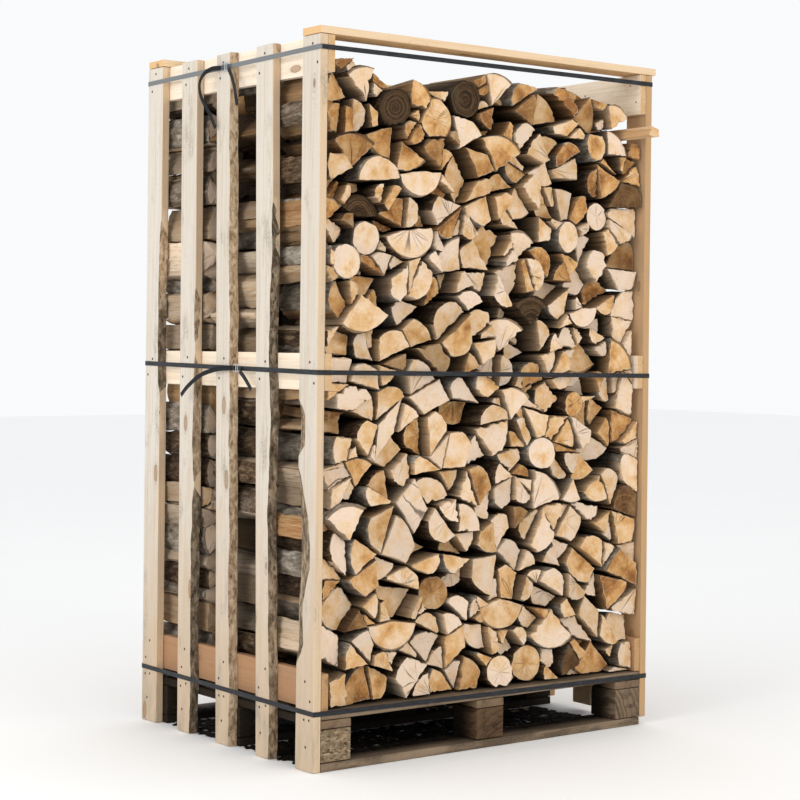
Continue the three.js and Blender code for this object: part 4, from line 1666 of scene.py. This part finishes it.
def chip_at(x, y, z, long, wide, thick):
    turn = np.linspace(0, 2 * math.pi, CHIP_CORNERS, endpoint=False)
    turn = turn + chip_chance.uniform(-0.35, 0.35, CHIP_CORNERS)
    spin = chip_chance.uniform(0, 2 * math.pi)
    a, b = long * np.cos(turn), wide * np.sin(turn)
    flat = np.column_stack([a * math.cos(spin) - b * math.sin(spin), a * math.sin(spin) + b * math.cos(spin)])
    lift = flat @ chip_chance.normal(0, 0.05, 2)
    lift -= lift.min()
    under = np.column_stack([flat + (x, y), z + lift])
    over = under + (0, 0, 0.6 * thick)
    top = over.mean(axis=0) + (0, 0, 0.4 * thick)
    faces = [tuple(reversed(range(CHIP_CORNERS)))]
    for side in range(CHIP_CORNERS):
        after = (side + 1) % CHIP_CORNERS
        faces.append((side, after, CHIP_CORNERS + after, CHIP_CORNERS + side))
        faces.append((CHIP_CORNERS + side, CHIP_CORNERS + after, 2 * CHIP_CORNERS))
    return np.vstack([under, over, [top]]), faces


def chip_finish(name, low, high):
    wood = Finish(name)
    place = wood.place()
    patch = wood.noise(wood.stretched(place, (0.02, 0.02, 0.02)), 4, 0.65)
    fibre = wood.noise(wood.stretched(place, (0.003, 0.003, 0.003)), 3, 0.7)
    return wood.finish(wood.mix(low, high, patch.step(0.35, 0.65)), 0.85, fibre + patch, 0.001)


def scatter_chips(count, x_range, y_range, long_range, thick_range, ground=0.0004):
    parts = []
    while len(parts) < count:
        x = chip_chance.uniform(*x_range)
        y = chip_chance.uniform(*y_range)
        long = chip_chance.uniform(*long_range)
        near = [low.x - long < x < high.x + long and low.y - long < y < high.y + long
                for low, high in pallet_blocks]
        if any(near):
            continue
        carried = [high.z for low, high in bottom_boards if low.y + long < y < high.y - long]
        at_rim = [low.y - long < y < high.y + long for low, high in bottom_boards]
        if any(at_rim) and not carried:
            continue
        z = (carried[0] if carried else 0.0) + ground
        thick = chip_chance.uniform(*thick_range)
        parts.append(chip_at(x, y, z, long, long * chip_chance.uniform(0.35, 0.8), thick))
    return parts


shadow_litter_chip = chip_finish("shadow_litter_chip", (0.006, 0.004, 0.003), (0.018, 0.012, 0.008))
fresh_chip = chip_finish("fresh_chip", (0.42, 0.29, 0.17), (0.68, 0.52, 0.35))
# The dark chips, partly litter and partly a painted shadow under the pallet.
dark_parts = scatter_chips(DARK_CHIPS, (-0.53, 0.47), (-0.35, 0.36), (0.010, 0.022), (0.0008, 0.0018))
pale_parts = scatter_chips(PALE_CHIPS, (0.05, 0.42), (-0.10, 0.36), (0.004, 0.012), (0.001, 0.003), 0.003)
join_parts("shadow_litter", dark_parts, shadow_litter_chip, "log_wood")
join_parts("fresh_chips", pale_parts, fresh_chip, "log_wood")

# %% [markdown]
# ## Studio
# A wide pale floor, a soft warm light from the front, a soft white one from the left and a pale sky all
# round. The camera stands where the photograph's perspective says it stood: almost level, at about the
# height of the middle strap, with a long lens.

# %% Floor and light
FLOOR_SIZE = 40


def pale_floor():
    ground = Finish("pale_floor", 0.3)
    place = ground.place()
    cloud = ground.noise(ground.stretched(place, (0.8, 0.8, 0.8)), 3, 0.5)
    colour = ground.mix((0.94, 0.94, 0.94), (0.92, 0.92, 0.92), cloud)
    return ground.finish(colour, 0.8)


bpy.ops.object.select_all(action="DESELECT")
bpy.ops.mesh.primitive_plane_add(size=FLOOR_SIZE, location=(0, 0, 0))
floor = bpy.context.object
floor.name = "floor"
floor.data.materials.append(pale_floor())

world = bpy.data.worlds.new("pale_sky")
bpy.context.scene.world = world
world.use_nodes = True
world.node_tree.nodes["Background"].inputs["Color"].default_value = (0.98, 0.99, 1.0, 1)
world.node_tree.nodes["Background"].inputs["Strength"].default_value = 0.97


def soft_light(name, place, target, size, power, colour):
    bpy.ops.object.light_add(type="AREA", location=place)
    lamp = bpy.context.object
    lamp.name = name
    lamp.data.size = size
    lamp.data.energy = power
    lamp.data.color = colour
    lamp.rotation_euler = (Vector(target) - Vector(place)).to_track_quat("-Z", "Y").to_euler()


soft_light("key_light", (0.6, -5.6, 4.2), (0, 0, 0.9), 2.0, 60, (1.0, 0.90, 0.76))
soft_light("side_light", (-5.6, -0.8, 3.0), (0, 0, 0.9), 3.0, 105, (1.0, 0.97, 0.92))
bpy.context.scene.view_settings.view_transform = "Standard"

# %% Camera
CAMERA_PLACE = (-3.212, -4.248, 1.044)
LOOKING = math.radians(37.16)
FOCAL_PIXELS = 1918.5
FRAME_PIXELS = 800
SENSOR_WIDTH = 36  # millimetres
HORIZON_ROW = 345
ROLL = math.radians(-0.64)

bpy.ops.object.camera_add(location=CAMERA_PLACE)
camera = bpy.context.object
camera.data.sensor_width = SENSOR_WIDTH
camera.data.lens = FOCAL_PIXELS / FRAME_PIXELS * SENSOR_WIDTH
camera.data.shift_y = (HORIZON_ROW - FRAME_PIXELS / 2) / FRAME_PIXELS
camera.rotation_euler = (math.pi / 2, ROLL, -LOOKING)
bpy.context.scene.camera = camera
print("lens", round(camera.data.lens, 1), "mm")
